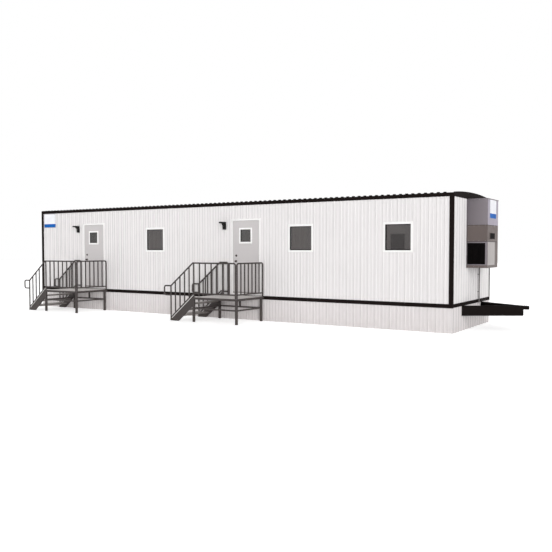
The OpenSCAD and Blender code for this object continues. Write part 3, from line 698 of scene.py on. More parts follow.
for side in sideSpace:
    covered = claddingSizes["trimLong" if side in ("front", "rear") else "trimEnd"]
    long = side in ("front", "rear")
    ribbedCladding(f"{side}_siding_sheet", side, halfSpan[side] - covered, bandTop, eaveZ,
                   openings[side], finish["siding" if long else "endSiding"], "siding")
    ribbedCladding(f"{side}_skirt_sheet", side, halfSpan[side], 0.0, floorFoot,
                   notchesOf("right_skirt", side) if side == "right" else [],
                   finish["skirting" if long else "endSkirting"], "skirting")
print("cladding made")

# roof
roofSizes = {
    "pitch": 0.1618,        # from one rib to the next
    "ribDepth": 0.016,
    "lower": 0.026,         # of the sheet under the arched fascias
    "rise": 0.074,          # of the bow, from the eaves to the crown
    "overhang": 0.010,      # over the walls
    "thickness": 0.045,
    "stepsPerRib": 12,
    "rows": 21,
    "phase": 0.005,         # place of a closure tooth from the middle of the eave
    "tooth": (0.100, 0.056, 0.033, 0.040),   # foot, crest, height and thickness
}


def makeRoof():
    sizes = roofSizes
    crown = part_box("roof")[1].z - sizes["lower"]
    sheet = grown(roofTree, [(0, 0, 0)], {
        "Length": 2 * halfLong, "Width": 2 * (halfWide + sizes["overhang"]),
        "Columns": round(2 * halfLong / sizes["pitch"] * sizes["stepsPerRib"]) + 1,
        "Rows": sizes["rows"], "Bow Radius": (halfWide ** 2 + sizes["rise"] ** 2) / (2 * sizes["rise"]),
        "Crown": crown, "Pitch": sizes["pitch"], "Rib Depth": sizes["ribDepth"],
        "Thickness": sizes["thickness"], "Material": finish["roofSheet"]})
    piece("ribbed_roof_sheet", [placed(sheet, move(middleX, middleY, 0))], finish["roofSheet"],
          slot="roof_sheet", replaced=["roof"])
    # teeth that close the ribs along both eaves, standing a little over the sheet
    foot, crest, tall, thick = sizes["tooth"]
    count = int((halfLong - foot) / sizes["pitch"])
    places = [(sizes["phase"] + k * sizes["pitch"], 0, 0) for k in range(-count, count + 1)]
    teeth = grown(ribTree, places, {"Height": thick, "Foot Width": foot, "Crest Width": crest,
                                    "Depth": tall, "Material": finish["blackTrim"]})
    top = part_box("roof")[1].z - sizes["rise"] + 0.004
    rows = [placed(teeth.copy(), sideSpace[side] @ move(0, -0.013, top - tall) @ turn(-90, "X"))
            for side in ("front", "rear")]
    piece("eave_closures", rows, finish["blackTrim"], slot="black_trim")


makeRoof()
print("roof made")

# windows
windowSizes = {
    "setIn": 0.016,         # of the dark sash behind the white frame's face
    "sash": (0.030, 0.010, 0.024, 0.014),   # widths on the left, right, foot and head
    "sashOnGlass": 0.010,   # how far the sash stands before the glass
    "seal": 0.004,
    "backBar": 0.012,       # width of the sash inside the room
    "flashing": (0.006, 0.008, 0.004),      # strip over the frame: past it, height, behind its face
}


def makeWindows(side):
    sizes = windowSizes
    wideLeft, wideRight, wideFoot, wideHead = sizes["sash"]
    thin, out = sizes["seal"], sizes["sashOnGlass"]
    past, tall, behind = sizes["flashing"]
    sashes, seals, whites = [], [], []
    glass = [inSide(side, *solid) for solid in solidsOf(f"{side}_window_glass", 0, 1.0)]
    for (low, high), (paneLow, paneHigh) in zip(windowHoles[side], glass):
        left, right, foot, head = paneLow.x, paneHigh.x, paneLow.z, paneHigh.z
        inLeft, inRight, inFoot, inHead = left + wideLeft, right - wideRight, foot + wideFoot, head - wideHead
        pane, back = paneLow.y, paneHigh.y
        near = pane - out
        sashes += ring(left, right, foot, head, low.y + sizes["setIn"], pane, thin)
        sashes += [((left, near, foot), (right, pane, inFoot)), ((left, near, inHead), (right, pane, head)),
                   ((left, near, inFoot), (inLeft, pane, inHead)),
                   ((inRight, near, inFoot), (right, pane, inHead))]
        sashes += ring(left, right, foot, head, back, back + out, sizes["backBar"])
        seals += ring(inLeft, inRight, inFoot, inHead, pane - thin, pane, thin)
        whites.append(((low.x - past, low.y + behind, high.z), (high.x + past, 0, high.z + tall)))
    space = sideSpace[side]
    boxPiece(f"{side}_window_sashes", sashes, "darkSash", 0.0015, 1, space)
    boxPiece(f"{side}_window_seals", seals, "seal", space=space)
    boxPiece(f"{side}_window_flashings", whites, "whiteFrame", 0.002, space=space, slot="white_frame")


makeWindows("front")
makeWindows("rear")
print("windows made")

# doors
doorSizes = {
    # radius and reach of the turned pieces
    "rose": [(0.0, -0.001), (0.0325, -0.001), (0.0325, 0.004), (0.029, 0.0085), (0.0, 0.0095)],
    "knob": [(0.0, 0.006), (0.0125, 0.009), (0.0115, 0.015), (0.0115, 0.028), (0.019, 0.034),
             (0.0265, 0.042), (0.0278, 0.050), (0.0262, 0.057), (0.020, 0.0625), (0.0085, 0.0645),
             (0.0, 0.0645)],
    "bolt": [(0.0, -0.001), (0.0325, -0.001), (0.0325, 0.007), (0.0290, 0.0125), (0.0225, 0.0145),
             (0.0, 0.0145)],
    "core": [(0.0, 0.010), (0.0205, 0.010), (0.0205, 0.0185), (0.0175, 0.0205), (0.0, 0.0205)],
    "lockEnd": 0.033,             # middles of knob and bolt from the lockset's ends
    # boxes in the lock: half width, half height, from and to over the leaf's face
    "thumbTurn": (0.005, 0.019, 0.012, 0.026),
    "boltSlot": (0.0014, 0.006, 0.0195, 0.0215),
    "knobSlot": (0.0012, 0.005, 0.0635, 0.0655),
    "sweep": (0.038, 0.004),      # height and thickness of the strip along the leaf's foot
    "sweepIn": 0.006,
    "frameBar": 0.045,            # width of the door frame's bars
    "seal": 0.0045,
    "hingeRadius": 0.0065,
    "hingeIn": 0.18,
    "hingeHalf": 0.05,            # from a hinge's middle to its caps, and to its rings
    "hingeRing": 0.017,
    "hingeCap": [(0, 0), (0.8, 0), (0.8, 0.002), (0.45, 0.005), (0, 0.006)],   # shares of the radius
    "trimBar": 0.048,
    "trimScrew": (0.0035, 0.0016),
    "paneSeal": (0.006, 0.020),   # width, and of its broad side
    "ridges": (5, 0.006, 0.009, 0.0035),   # of the threshold: number, start, pitch and width
    "dripStrip": (0.01, 0.013, 0.012),     # past the frame, out of the wall, and height
}


def makeLock(i, body, face, inner):
    sizes = doorSizes
    low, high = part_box(f"door_lockset_{i}")
    x, knobZ, boltZ = (low.x + high.x) / 2, low.z + sizes["lockEnd"], high.z - sizes["lockEnd"]

    def fitted(name, z, y=face, angle=90):
        return placed(turned(sizes[name], 28), move(x, y, z) @ turn(angle, "X"))

    def block(name, z, y, way):
        halfWide, halfHigh, near, far = sizes[name]
        return ((x - halfWide, y + way * near, z - halfHigh), (x + halfWide, y + way * far, z + halfHigh))

    light = [fitted("rose", knobZ), fitted("bolt", boltZ),
             fitted("rose", knobZ, inner, -90), fitted("bolt", boltZ, inner, -90)]
    dark = [fitted("knob", knobZ), fitted("knob", knobZ, inner, -90), fitted("core", boltZ),
            softEdges(boxes([block("thumbTurn", boltZ, inner, 1)]), 0.002)]
    piece(f"door_{i}_lock_roses", light, finish["lockMetal"], body, "lock_metal", [f"door_lockset_{i}"])
    piece(f"door_{i}_knob_and_core", dark, finish["darkLock"], body, "lock_metal")
    boxPiece(f"door_{i}_key_slots", [block("boltSlot", boltZ, face, -1), block("knobSlot", knobZ, face, -1)],
             "seal", body=body)


def makeHingeCaps(i, body, x, y, foot, head):
    sizes = doorSizes
    radius = sizes["hingeRadius"]
    inner, outer, deep = radius - 0.001, radius + 0.0004, 0.0008
    caps = []
    for z in (foot + sizes["hingeIn"], (foot + head) / 2, head - sizes["hingeIn"]):
        for end in (-1, 1):
            cap = turned([(radius * share, rise) for share, rise in sizes["hingeCap"]], 16)
            upwards = turn(0 if end > 0 else 180, "X")
            caps.append(placed(cap, move(x, y, z + end * sizes["hingeHalf"]) @ upwards))
            band = turned([(inner, -deep), (outer, -deep), (outer, deep), (inner, deep)], 20)
            caps.append(placed(band, move(x, y, z + end * sizes["hingeRing"])))
    piece(f"door_{i}_hinge_caps", caps, finish["lockMetal"], body, "lock_metal")


def makePaneTrim(i, body):
    # screws and the black seal of the pane's trim
    sizes = doorSizes
    low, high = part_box(f"door_pane_trim_{i}")
    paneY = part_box(f"door_pane_{i}")[0].y
    middle = (low + high) / 2
    bar, half = sizes["trimBar"], (high.x - low.x) / 2
    spots = [(middle.x + a * (half - bar / 2), middle.z + b * (half - bar / 2))
             for a in (-1, 0, 1) for b in (-1, 0, 1) if a or b]
    screwPiece(f"door_{i}_trim_screws", {"front": [(x, low.y, z) for x, z in spots],
                                         "rear": [(x, high.y, z) for x, z in spots]},
               *sizes["trimScrew"], body=body)
    half -= bar
    narrow, broad = sizes["paneSeal"]
    left, right, foot, head = middle.x - half, middle.x + half, middle.z - half, middle.z + half
    seal = ring(left, right, foot, head, low.y + 0.003, paneY, narrow)
    seal.append(((left, paneY - 0.004, foot), (left + broad, paneY, head)))
    boxPiece(f"door_{i}_pane_seal", seal, "seal", body=body)


def makeDoor(i):
    sizes = doorSizes
    body = f"door_{i}"
    leafLow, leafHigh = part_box(f"door_leaf_{i}")
    frameLow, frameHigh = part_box(f"door_frame_{i}")
    hinge = sizes["hingeRadius"]
    face, inner = leafLow.y + hinge * 2, leafHigh.y
    leftEdge, rightEdge = frameLow.x + sizes["frameBar"], frameHigh.x - sizes["frameBar"]
    foot, head = leafLow.z, leafHigh.z
    makeLock(i, body, face, inner)
    height, thick = sizes["sweep"]
    boxPiece(f"door_{i}_sweep", [((leafLow.x + sizes["sweepIn"], face - thick, foot + 0.002),
                                  (rightEdge - sizes["sweepIn"], face, foot + height))],
             "treadMetal", 0.0012, body=body)
    makeHingeCaps(i, body, leafHigh.x - hinge, leafLow.y + hinge, foot, head)
    makePaneTrim(i, body)

    # on the frame: seals against the leaf, a threshold, and a drip strip over the head
    stop = inner + 0.006
    near = stop - sizes["seal"]
    boxPiece(f"door_{i}_frame_seals", [
        ((leftEdge - 0.004, near, foot + 0.004), (leftEdge + 0.006, stop, head)),
        ((rightEdge - 0.006, near, foot + 0.004), (rightEdge + 0.004, stop, head)),
        ((leftEdge - 0.004, near, head - 0.006), (rightEdge + 0.004, stop, head + 0.004))], "seal")
    sill = foot - 0.007
    ridges = [((leftEdge, frameLow.y + 0.001, sill), (rightEdge, stop, sill + 0.0012))]
    number, start, pitch, wide = sizes["ridges"]
    for k in range(number):
        y = frameLow.y + start + k * pitch
        ridges.append(((leftEdge, y, sill + 0.001), (rightEdge, y + wide, sill + 0.003)))
    boxPiece(f"door_{i}_threshold", ridges, "treadMetal", slot="tread_metal")
    past, out, tall = sizes["dripStrip"]
    boxPiece(f"door_{i}_drip_strip", [((frameLow.x - past, boxLow.y - out, frameHigh.z),
                                       (frameHigh.x + past, boxLow.y, frameHigh.z + tall))],
             "whiteFrame", 0.002, slot="white_frame")


for doorNumber in (1, 2):
    makeDoor(doorNumber)
print("doors made")

# lamps
lampSizes = {
    # side view of the back: distance from the wall, and height over the top
    "outline": [(0, -0.215), (0.056, -0.215), (0.062, -0.105), (0.088, -0.078), (0.122, -0.050)],
    "hood": 0.034,          # height of the hood's front
    "edge": 0.005,
    "footStrip": (0.004, 0.012, 0.02),      # inset, depth and height
    "fins": 7,
    "fin": (0.0016, 0.012, 0.02, 0.002),    # half thickness, behind the front, off the wall, sunk in
    "finHeight": 0.006,
    "lens": (0.012, 0.022, 0.125, 0.042, 0.030),   # inset, behind the front, off the wall, foot and head
    "screw": (0.005, 0.004),
    "screws": (0.13, 0.195),    # under the top
    "screwOut": 0.058,
}


def makeLamps():
    sizes = lampSizes
    inset, depth, tall = sizes["footStrip"]
    half, finFront, finWall, sunk = sizes["fin"]
    beside, lensFront, lensWall, lensFoot, lensHead = sizes["lens"]
    bodies, lenses, screws = [], [], []
    for low, high in solidsOf("wall_lamps", 0, 0.3):
        wall, front, top, width = high.y, low.y, high.z - sizes["finHeight"], high.x - low.x
        outline = sizes["outline"] + [(wall - front, -sizes["hood"]), (wall - front, 0), (0, 0)]
        upright = Matrix(((0, 0, 1, low.x), (-1, 0, 0, wall), (0, 1, 0, top), (0, 0, 0, 1)))
        strip = [((low.x + inset, wall - depth, low.z), (high.x - inset, wall, low.z + tall))]
        middles = [low.x + width * (k + 1) / (sizes["fins"] + 1) for k in range(sizes["fins"])]
        fins = [((x - half, front + finFront, top - sunk), (x + half, wall - finWall, high.z))
                for x in middles]
        bodies += [softEdges(placed(prism(outline, 0, width), upright), sizes["edge"]),
                   softEdges(boxes(strip), 0.002), boxes(fins)]
        lens = [((low.x + beside, front + lensFront, top - lensFoot),
                 (high.x - beside, wall - lensWall, top - lensHead))]
        lenses.append(softEdges(boxes(lens), 0.003))
        screws += [(low.x + width / 2, wall - sizes["screwOut"], top - z) for z in sizes["screws"]]
    piece("lamp_bodies", bodies, finish["lampBody"], slot="lamp_body", replaced=["wall_lamps"])
    piece("lamp_lenses", lenses, finish["lens"])
    screwPiece("lamp_screws", {"front": screws}, *sizes["screw"])


makeLamps()
print("lamps made")

# air unit
unitSizes = {
    "seams": (1.070, 0.660),    # heights over the unit's foot
    "seamOut": 0.0008,
    "rim": 0.070,
    "gap": 0.004,           # from a cover's edge to the seam's middle
    "skin": 0.0015,         # thickness of the cover sheets
    "frontSkin": 0.0025,
    "panelSkin": 0.006,     # thickness of the access panel
    "handleOut": 0.012,
    # left, right, foot and head from the front's lower left corner
    "accessPanel": (0.020, 0.670, 0.070, 0.650),
    "handle": (0.270, 0.390, 0.600, 0.615),
    "vent": (0.190, 0.660, 0.715, 0.885),
    "cap": (0.008, 0.005, 0.020),       # overhang, its inner face, and how far it hangs down
    "flange": 0.028,
    "flangeFaces": (-0.006, -0.011),
    "bladeThickness": 0.0016,
    "ventBlades": (9, 0.0165, 0.010, -38),      # number, pitch, depth and tilt
    "ventFrame": (0.010, 0.012),                # how far it stands out, and its width
    "sideBlades": (0.0235, 0.011, -40),         # pitch, depth and tilt
    "sideFrame": 0.009,
    "screw": (0.0055, 0.003),
    "screwPitch": 0.24,
    "screwIn": (0.03, 0.022),   # rows of screws from the covers' ends, and from the seams
    "sideScrews": (-0.05, -0.18, -0.31),
    "panelScrews": (0.1, 0.36, 0.62),
}


def makeAirUnit():
    sizes = unitSizes
    low, high = inSide("right", *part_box("air_unit_housing"))
    left, right, front, foot, head = low.x, high.x, low.y, low.z, high.z
    space = sideSpace["right"]
    skin, frontSkin, panelSkin, gap = (sizes[key] for key in ("skin", "frontSkin", "panelSkin", "gap"))
    upper, lower = (foot + z for z in sizes["seams"])
    rim = foot + sizes["rim"]

    def band(z0, z1, out):
        # a cover round the two sides and the front
        return [((left - out, front, z0), (left, -gap, z1)), ((right, front, z0), (right + out, -gap, z1)),
                ((left - out, front - out, z0), (right + out, front, z1))]

    def onFront(name, out, back=0.0):
        # a box on the front, at a place from the dictionary
        a, b, c, d = sizes[name]
        return ((left + a, front - out, foot + c), (left + b, front - back, foot + d))

    def inUnit(name, parts, look="unitHousing", slot="unit_housing", edge=0.001, **rest):
        boxPiece("unit_" + name, parts, look, edge, 1, space, slot=slot, **rest)

    inUnit("middle_cover", band(lower + gap, upper - gap, skin), "unitMiddle")
    inUnit("foot_rim", band(foot, rim - gap, skin), "unitMiddle")
    # the front cover and the access panel carry painted light: lighter than the sides
    inUnit("front_cover", [((left + gap, front - frontSkin, upper + gap), (right - gap, front, head - gap))],
           "unitFrontLit")
    panelLeft, panelRight = left + sizes["accessPanel"][0], left + sizes["accessPanel"][1]
    inUnit("front_strip", [((panelRight + 0.012, front - skin, rim), (right, front, lower - gap)),
                           ((left, front - skin, rim), (panelLeft - gap, front, lower - gap))], "unitMiddle")
    inUnit("access_panel", [onFront("accessPanel", panelSkin),
                            onFront("handle", sizes["handleOut"], panelSkin)],
           "unitPanelLit", "unit_panel", 0.002, replaced=["air_unit_panels"])
    out = sizes["seamOut"]
    inUnit("seams", band(upper - gap, upper + gap, out) + band(lower - gap, lower + gap, out)
           + [((panelRight + 0.002, front - 0.0012, rim), (panelRight + 0.011, front, lower))],
           "unitGrille", "unit_grille", 0.0002)
    over, within, hang = sizes["cap"]
    capLeft, capRight, capFront, capFoot = left - over, right + over, front - over, head - hang
    inUnit("cap", [((capLeft, capFront, head - 0.002), (capRight, 0, head + 0.004)),
                   ((capLeft, capFront, capFoot), (capRight, front - within, head)),
                   ((capLeft, front - within, capFoot), (left - within, 0, head)),
                   ((right + within, front - within, capFoot), (capRight, 0, head))])
    flange = sizes["flange"]
    back, face = sizes["flangeFaces"]
    inUnit("flanges", [((left - flange, back, foot), (left, face, head)),
                       ((right, back, foot), (right + flange, face, head)),
                       ((left - flange, -0.012, foot), (right + flange, -0.002, foot + 0.004))])

    # the small vent in the middle of the front: a frame, a dark back and sloping blades
    (ventLeft, _, ventFoot), (ventRight, _, ventHead) = onFront("vent", 0)
    out, bar = sizes["ventFrame"]
    inUnit("vent_frame", ring(ventLeft, ventRight, ventFoot, ventHead, front - out, front - skin, bar),
           "unitMiddle")
    number, pitch, deep, tilt = sizes["ventBlades"]
    look = {"Thickness": sizes["bladeThickness"], "Material": finish["unitGrille"]}
    blades = grown(louvreTree, [((ventLeft + ventRight) / 2, front - 0.0055, ventFoot + 0.018)], {
        "Blades": number, "Pitch": pitch, "Width": ventRight - ventLeft - 0.02, "Blade Depth": deep,
        "Tilt": math.radians(tilt), **look})
    piece("unit_vent_blades", [placed(blades, space), placed(boxes([onFront("vent", 0.003)]), space)],
          finish["unitGrille"], slot="unit_grille")

    # the big side grilles, sunk in the housing
    meshes = []
    pitch, deep, tilt = sizes["sideBlades"]
    for (gLow, gHigh), around in zip(solidsOf("air_unit_grilles", 1, 0.3), (0, 180)):
        inGrille = move((gLow.x + gHigh.x) / 2, gHigh.y if around else gLow.y, gLow.z) @ turn(around, "Z")
        width, depth, height = gHigh - gLow
        half = width / 2
        rows = grown(louvreTree, [(0, depth / 2 - 0.001, 0.020)], {
            "Blades": int((height - 0.02) / pitch), "Pitch": pitch, "Width": width - 0.01,
            "Blade Depth": deep, "Tilt": math.radians(tilt), **look})
        bars = ring(-half, half, 0, height, 0.0, depth, sizes["sideFrame"])
        bars += [((x - 0.0015, 0.0, 0), (x + 0.0015, depth, height)) for x in (-half / 3, half / 3)]
        bars.append(((-half, depth - 0.002, 0), (half, depth, height)))
        meshes += [placed(rows, inGrille), placed(boxes(bars), inGrille)]
    piece("unit_side_grilles", meshes, finish["unitGrille"], slot="unit_grille",
          replaced=["air_unit_grilles"])

    # rows of screws round the covers
    end, seam = sizes["screwIn"]
    rows = [(head - end, frontSkin), (upper + seam, frontSkin), (upper - seam, skin), (lower + seam, skin),
            (foot + end, skin)]
    count = int((right - left - 0.06) / sizes["screwPitch"])
    onCovers = [(left + 0.04 + k * (right - left - 0.08) / count, front - out, z)
                for k in range(count + 1) for z, out in rows]
    onPanel = [(x, front - panelSkin, foot + z) for x in (panelLeft + 0.02, panelRight - 0.02)
               for z in sizes["panelScrews"]]
    onFlanges = [(x, face, foot + 0.1 + k * 0.25) for k in range(7)
                 for x in (left - flange / 2, right + flange / 2)]
    onSides = [(y, z) for z, _ in rows for y in (*sizes["sideScrews"], front + 0.05)]
    screwPiece("unit_screws", {"front": onCovers + onPanel + onFlanges,
                               "left": [(left - skin, y, z) for y, z in onSides],
                               "right": [(right + skin, y, z) for y, z in onSides]}, *sizes["screw"], space)


makeAirUnit()
print("air unit made")

# plates and the panel in the room
plateSizes = {
    "rim": (0.013, 0.002),  # width of the metal edge strip, and how far it stands out
    "screwIn": 0.025,
    "screw": (0.006, 0.003),
}
panelSizes = {
    "margin": 0.02,
    "thickness": 0.006,
    "handle": (0.06, 0.04, 0.42, 0.48),     # from the right edge, and from the foot
    "handleOut": 0.014,
}


def makePlateParts():
    heads, rims = [], []
    wide, out = plateSizes["rim"]
    inset = plateSizes["screwIn"]
    for solid, side in zip(solidsOf("blank_plates", 0, 1.0), ("front", "right")):
        low, high = inSide(side, *solid)
        rims.append(placed(boxes(ring(low.x, high.x, low.z, high.z, low.y - out, low.y, wide)),
                           sideSpace[side]))
        spots = [(x, low.y, z) for x in (low.x + inset, high.x - inset)
                 for z in (low.z + inset, high.z - inset)]
        heads.append(placed(studs(spots, "front", *plateSizes["screw"], finish["screwMetal"]),
                            sideSpace[side]))
    piece("plate_screws", heads, finish["screwMetal"])
    piece("plate_rims", rims, finish["plateRim"])


def makePanelDoor():
    low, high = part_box("breaker_panel")
    margin, face = panelSizes["margin"], low.y - panelSizes["thickness"]
    far, near, foot, head = panelSizes["handle"]
    boxPiece("breaker_panel_door", [
        ((low.x + margin, face, low.z + margin), (high.x - margin, low.y, high.z - margin)),
        ((high.x - far, low.y - panelSizes["handleOut"], low.z + foot), (high.x - near, face, low.z + head))],
        "panelBox", 0.003, slot="panel_box")


makePlateParts()
makePanelDoor()

# landings and stairs
landingSizes = {
    "nubPitch": 0.030,
    "nubRadius": 0.0065,
    "nubHeight": 0.0025,
    "planks": 5,
    "plankSeam": (0.003, 0.001, 0.0012),    # half width, sunk in, and over the deck
    "nosing": (0.034, 0.003, 0.026),   # width, thickness and drop of a tread's worn front edge
    "nosingOut": (0.002, 0.004),       # before the tread: its top and its front
    "legInset": 0.029,      # middle of a leg from the outer edges
    "legIn": 0.115,         # wall-side legs, from the wall
    "braceZ": 0.380,
    "bolt": (0.009, 0.008),            # radius and height
    "plateBolt": (0.005, 0.004),
    "basePlate": 0.008,
    "stringerWidth": 0.050,
    "plateLip": 0.003,      # what a foot plate stands out beside the side plate
    "plateSpot": 0.0215,    # bolts from the middle of a post's base plate
    "highlightStrip": (0.046, 0.013, 0.0015),   # painted highlight strip on a side plate: place, width, thickness
    "stripStart": 0.006,
    "stripShort": (0.052, 0.0),        # of the front and the rear strip's upper end
}


def boltHeads(points, facing, size, look):
    return studs(points, facing, *size, finish[look], 6, 0.92)


def nubs(low, high, top, material):
    sizes = landingSizes
    step = sizes["nubPitch"]
    countX, countY = int((high.x - low.x - step) / step), int((high.y - low.y - step) / step)
    startX = (low.x + high.x - countX * step) / 2
    startY = (low.y + high.y - countY * step) / 2
    points = [(startX + i * step + (step / 2 if k % 2 and i < countX else 0), startY + k * step, top)
              for i in range(countX + 1) for k in range(countY + 1)]
    return studs(points, "up", sizes["nubRadius"], sizes["nubHeight"], material, sides=6, top=0.55)


def topLine(name):
    # the upper edge of a stair's side plates: its lower and its upper end
    points = [v.co for v in nodes[name].data.vertices if v.co.z > 0.02]
    toe = min(p.x for p in points)
    start = max((p for p in points if p.x < toe + 0.001), key=lambda p: p.z)
    return start.copy(), max(points, key=lambda p: p.z).copy()


def makeDeck(i):
    # nubs on the deck and the seams between its planks
    low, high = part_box(f"landing_deck_{i}")
    half, sunk, over = landingSizes["plankSeam"]
    count = landingSizes["planks"]
    seams = [low.y + (high.y - low.y) * k / count for k in range(1, count)]
    planks = [((low.x, y - half, high.z - sunk), (high.x, y + half, high.z + over)) for y in seams]
    piece(f"landing_{i}_deck_nubs", [nubs(low, high, high.z, finish["deckPlate"]), boxes(planks)],
          finish["deckPlate"], slot="deck_plate")


def makeTreads(i):
    # worn nosings and nubs
    nosings, treadNubs = [], []
    wide, thick, fall = landingSizes["nosing"]
    above, before = landingSizes["nosingOut"]
    for a, b in solidsOf(f"stair_treads_{i}", 2, 0.08):
        near, far, top = a.y + 0.002, b.y - 0.002, b.z + thick
        nosings += [((a.x - above, near, b.z), (a.x + wide, far, top)),
                    ((a.x - before, near, b.z - fall), (a.x, far, top))]
        treadNubs.append(nubs(a + Vector((wide, 0, 0)), b, b.z, finish["treadMetal"]))
    boxPiece(f"stair_{i}_nosings", nosings, "deckPlate", 0.001, 1, slot="tread_metal")
    piece(f"stair_{i}_tread_nubs", treadNubs, finish["treadMetal"], slot="tread_metal")


def makeHighlightStrips(i):
    # a painted highlight strip along the top of each side plate
    sizes = landingSizes
    start, end = topLine(f"stair_stringers_{i}")
    rise, run = end.z - start.z, end.x - start.x
    sloped = move(start.x, 0, start.z) @ Matrix.Rotation(-math.atan2(rise, run), 4, "Y")
    low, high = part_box(f"stair_stringers_{i}")
    down, width, thick = sizes["highlightStrip"]
    faces = [low.y + sizes["plateLip"], high.y - sizes["plateLip"] - sizes["stringerWidth"]]
    strips = [boxes([((sizes["stripStart"], y - thick, -down - width),
                      (math.hypot(run, rise) - short, y, -down))])
              for y, short in zip(faces, sizes["stripShort"])]
    piece(f"stair_{i}_plate_highlights", [placed(strip, sloped) for strip in strips], finish["plateHighlight"],
          slot="tread_metal")


def makeLandingBolts(i):
    # through the braces at the legs, and in the plate under the front post
    sizes = landingSizes
    low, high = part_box(f"landing_frame_{i}")
    half, spot = sizes["legInset"], sizes["plateSpot"]
    left, frontLeg, wallLeg = low.x + half, low.y + half, boxLow.y - sizes["legIn"]
    bolts = [boltHeads([(x, y, sizes["braceZ"]) for y in (frontLeg, wallLeg)], facing, sizes["bolt"],
                       "stairSteel") for facing, x in (("left", low.x), ("right", high.x))]
    onPlate = [(left + a * spot, frontLeg + b * spot, high.z + sizes["basePlate"])
               for a in (-1, 1) for b in (-1, 1)]
    bolts.append(boltHeads(onPlate, "up", sizes["plateBolt"], "stairSteel"))
    piece(f"landing_{i}_bolts", bolts, finish["stairSteel"], slot="stair_steel")


def makeLanding(i):
    makeDeck(i)
    makeTreads(i)
    makeHighlightStrips(i)
    makeLandingBolts(i)


for landingNumber in (1, 2):
    makeLanding(landingNumber)
print("landings made")

# hitch
hitchSizes = {
    "flange": 0.014,
    "web": 0.012,
    "bolt": (0.011, 0.009),     # radius and height
    "bolts": (0.03, 0.075),     # on the coupler, from the beams' ends
}


def planOutline(name, upperHalf):
    # the outline in plan of one of a pair of straight solids, from its own corners
    points = {(round(v.co.x, 5), round(v.co.y, 5)) for v in nodes[name].data.vertices
              if (v.co.y > middleY) == upperHalf}
    x0, y0 = (sum(p[k] for p in points) / len(points) for k in (0, 1))
    return sorted(points, key=lambda p: math.atan2(p[1] - y0, p[0] - x0))


def makeHitch():
    # channels whose flat backs face outwards
    sizes = hitchSizes
    low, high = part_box("hitch_beams")
    meshes = []
    for upperHalf in (False, True):
        outline = planOutline("hitch_beams", upperHalf)
        for z0 in (low.z, high.z - sizes["flange"]):
            meshes.append(prism(outline, z0, z0 + sizes["flange"]))
        outer = 1 if upperHalf else -1
        root = max((p for p in outline if p[0] < low.x + 0.001), key=lambda p: p[1] * outer)
        nose = max((p for p in outline if p[0] > high.x - 0.001), key=lambda p: p[1] * outer)
        inward = -(Vector(nose) - Vector(root)).normalized().x * outer * sizes["web"]
        web = [root, nose, (nose[0], nose[1] + inward), (root[0], root[1] + inward)]
        meshes.append(prism(web, low.z, high.z))
    half = nose[1] - middleY
    meshes.append(boxes([((high.x - sizes["web"], middleY - half, low.z), (high.x, middleY + half, high.z))]))
    piece("hitch_channels", meshes, finish["chassis"], slot="chassis_steel", replaced=["hitch_beams"])
    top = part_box("hitch_coupler")[1].z
    bolts = boltHeads([(high.x + x, middleY, top) for x in sizes["bolts"]], "up", sizes["bolt"], "chassis")
    piece("coupler_bolts", [bolts], finish["chassis"], slot="chassis_steel")


makeHitch()
print("hitch made")

# finishes of the nodes
slotFinish = {
    "chassis_steel": "chassis", "pier_block": "pier", "floor_deck": "floorDeck", "inner_lining": "lining",
    "roof_sheet": "roofSheet", "siding": "siding", "skirting": "skirting", "black_trim": "blackTrim",
    "white_frame": "whiteFrame", "window_glass": "windowGlass", "door_paint": "doorPaint",
    "lock_metal": "lockMetal", "unit_housing": "unitHousing", "unit_grille": "unitGrille",
    "unit_panel": "unitPanelLit", "conduit": "conduit", "lamp_body": "lampBody", "plate": "plate",
    "panel_box": "panelBox", "stair_steel": "stairSteel", "deck_plate": "deckPlate",
    "tread_metal": "treadMetal",
}
plateLow = min(solid[0].z for solid in solidsOf("blank_plates", 0, 1.0))
finish["plate"] = blankPlate("plate_white_and_blue", plateLow + 0.132)
for part in frame["record"]["subparts"]:
    node = nodes[part["node"]]
    node.data.materials.clear()
    node.data.materials.append(finish[slotFinish[part["material_slot"]]])
special = {"door_pane_1": "doorGlass", "door_pane_2": "doorGlass", "left_end_wall": "endSiding",
           "right_end_wall": "endSiding", "left_skirt": "endSkirting", "right_skirt": "endSkirting"}
for name, kind in special.items():
    nodes[name].data.materials[0] = finish[kind]
print("finishes given to the nodes")

# floor, light and camera
stageSizes = {
    "floorReach": 90.0,
    "worldLight": 0.40,
    "floorShine": 0.55,     # what the floor adds for the camera
    "floorBounce": 0.16,    # and for all else
    "floorTones": ((0.80, 0.80, 0.80, 1), (0.83, 0.83, 0.83, 1)),
    "roomLight": 45.0,
    "roomLightShare": (0.9, 0.7),   # of the ceiling's length and width
}
# suns: strength, softness in degrees, azimuth they shine from (0 is -Y, 90 is +X), height
suns = {
    "key_sun": (0.72, 40, 47, 36),
    "low_key_sun": (1.08, 22, 47, 9),
    "side_sun": (0.36, 45, -45, 22),
    "rear_sun": (1.2, 35, 215, 34),
}


def seenDirectly(tree):
    # 1 for camera, mirror and glass rays
    path = addNode(tree, "ShaderNodeLightPath").outputs
    either = mathNode(tree, "MAXIMUM", path["Is Camera Ray"], path["Is Glossy Ray"])
    return mathNode(tree, "MAXIMUM", either, path["Is Transmission Ray"])


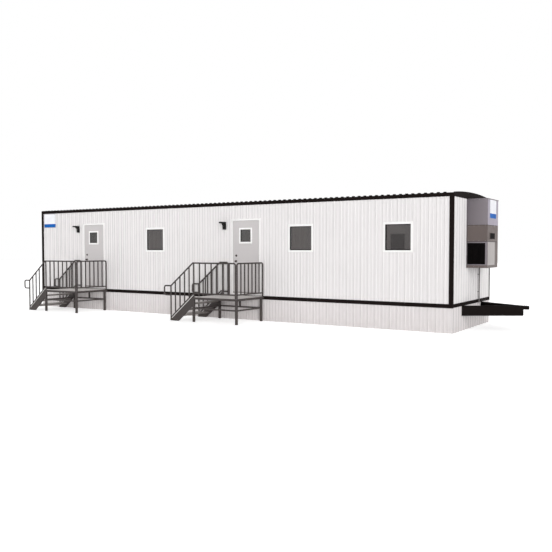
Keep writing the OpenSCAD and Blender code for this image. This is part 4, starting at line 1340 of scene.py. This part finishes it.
def makeStage():
    reach = stageSizes["floorReach"]
    floor = newObject("floor_plane", boxes([((-reach, -reach, -0.05), (reach, reach, 0.0))]))
    material, tree, shader, coords = startMaterial("pale_floor", roughness=0.9)
    tone = remap(tree, noise(tree, coords, 0.5, 3), 0.3, 0.7, 0, 1)
    tree.links.new(mixed(tree, tone, *stageSizes["floorTones"]), shader.inputs["Base Color"])
    shader.inputs["Specular IOR Level"].default_value = 0.0
    shader.inputs["Emission Color"].default_value = (1, 1, 1, 1)
    shine = remap(tree, seenDirectly(tree), 0, 1, stageSizes["floorBounce"], stageSizes["floorShine"])
    tree.links.new(shine, shader.inputs["Emission Strength"])
    floor.data.materials.append(material)
    world = bpy.data.worlds.new("studio")
    bpy.context.scene.world = world
    world.use_nodes = True
    tree = world.node_tree
    background = tree.nodes["Background"]
    background.inputs["Color"].default_value = (1, 1, 1, 1)
    lit = remap(tree, seenDirectly(tree), 0, 1, stageSizes["worldLight"], 1.0)
    tree.links.new(lit, background.inputs["Strength"])


def makeLights():
    for name, (strength, softness, azimuth, height) in suns.items():
        data = bpy.data.lights.new(name, "SUN")
        data.energy = strength
        data.angle = math.radians(softness)
        lamp = newObject(name, data)
        lamp.rotation_euler = (math.radians(90 - height), 0, math.radians(azimuth))
    low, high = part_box("ceiling")
    data = bpy.data.lights.new("room_light", "AREA")
    data.shape = "RECTANGLE"
    shareX, shareY = stageSizes["roomLightShare"]
    data.size, data.size_y = (high.x - low.x) * shareX, (high.y - low.y) * shareY
    data.energy = stageSizes["roomLight"]
    lamp = newObject("room_light", data)
    lamp.location = (middleX, middleY, low.z - 0.02)


cameraSizes = {
    "place": (11.859, -16.6565, 2.016),
    "turn": (87.748, 0.0, 32.692),
    "lens": 43.58,
}


def makeCamera():
    data = bpy.data.cameras.new("camera")
    data.lens = cameraSizes["lens"]
    camera = newObject("camera", data)
    camera.location = cameraSizes["place"]
    camera.rotation_euler = [math.radians(a) for a in cameraSizes["turn"]]
    bpy.context.scene.camera = camera


makeStage()
makeLights()
makeCamera()
bpy.context.scene.view_settings.view_transform = "Standard"
print("stage, lights and camera made")
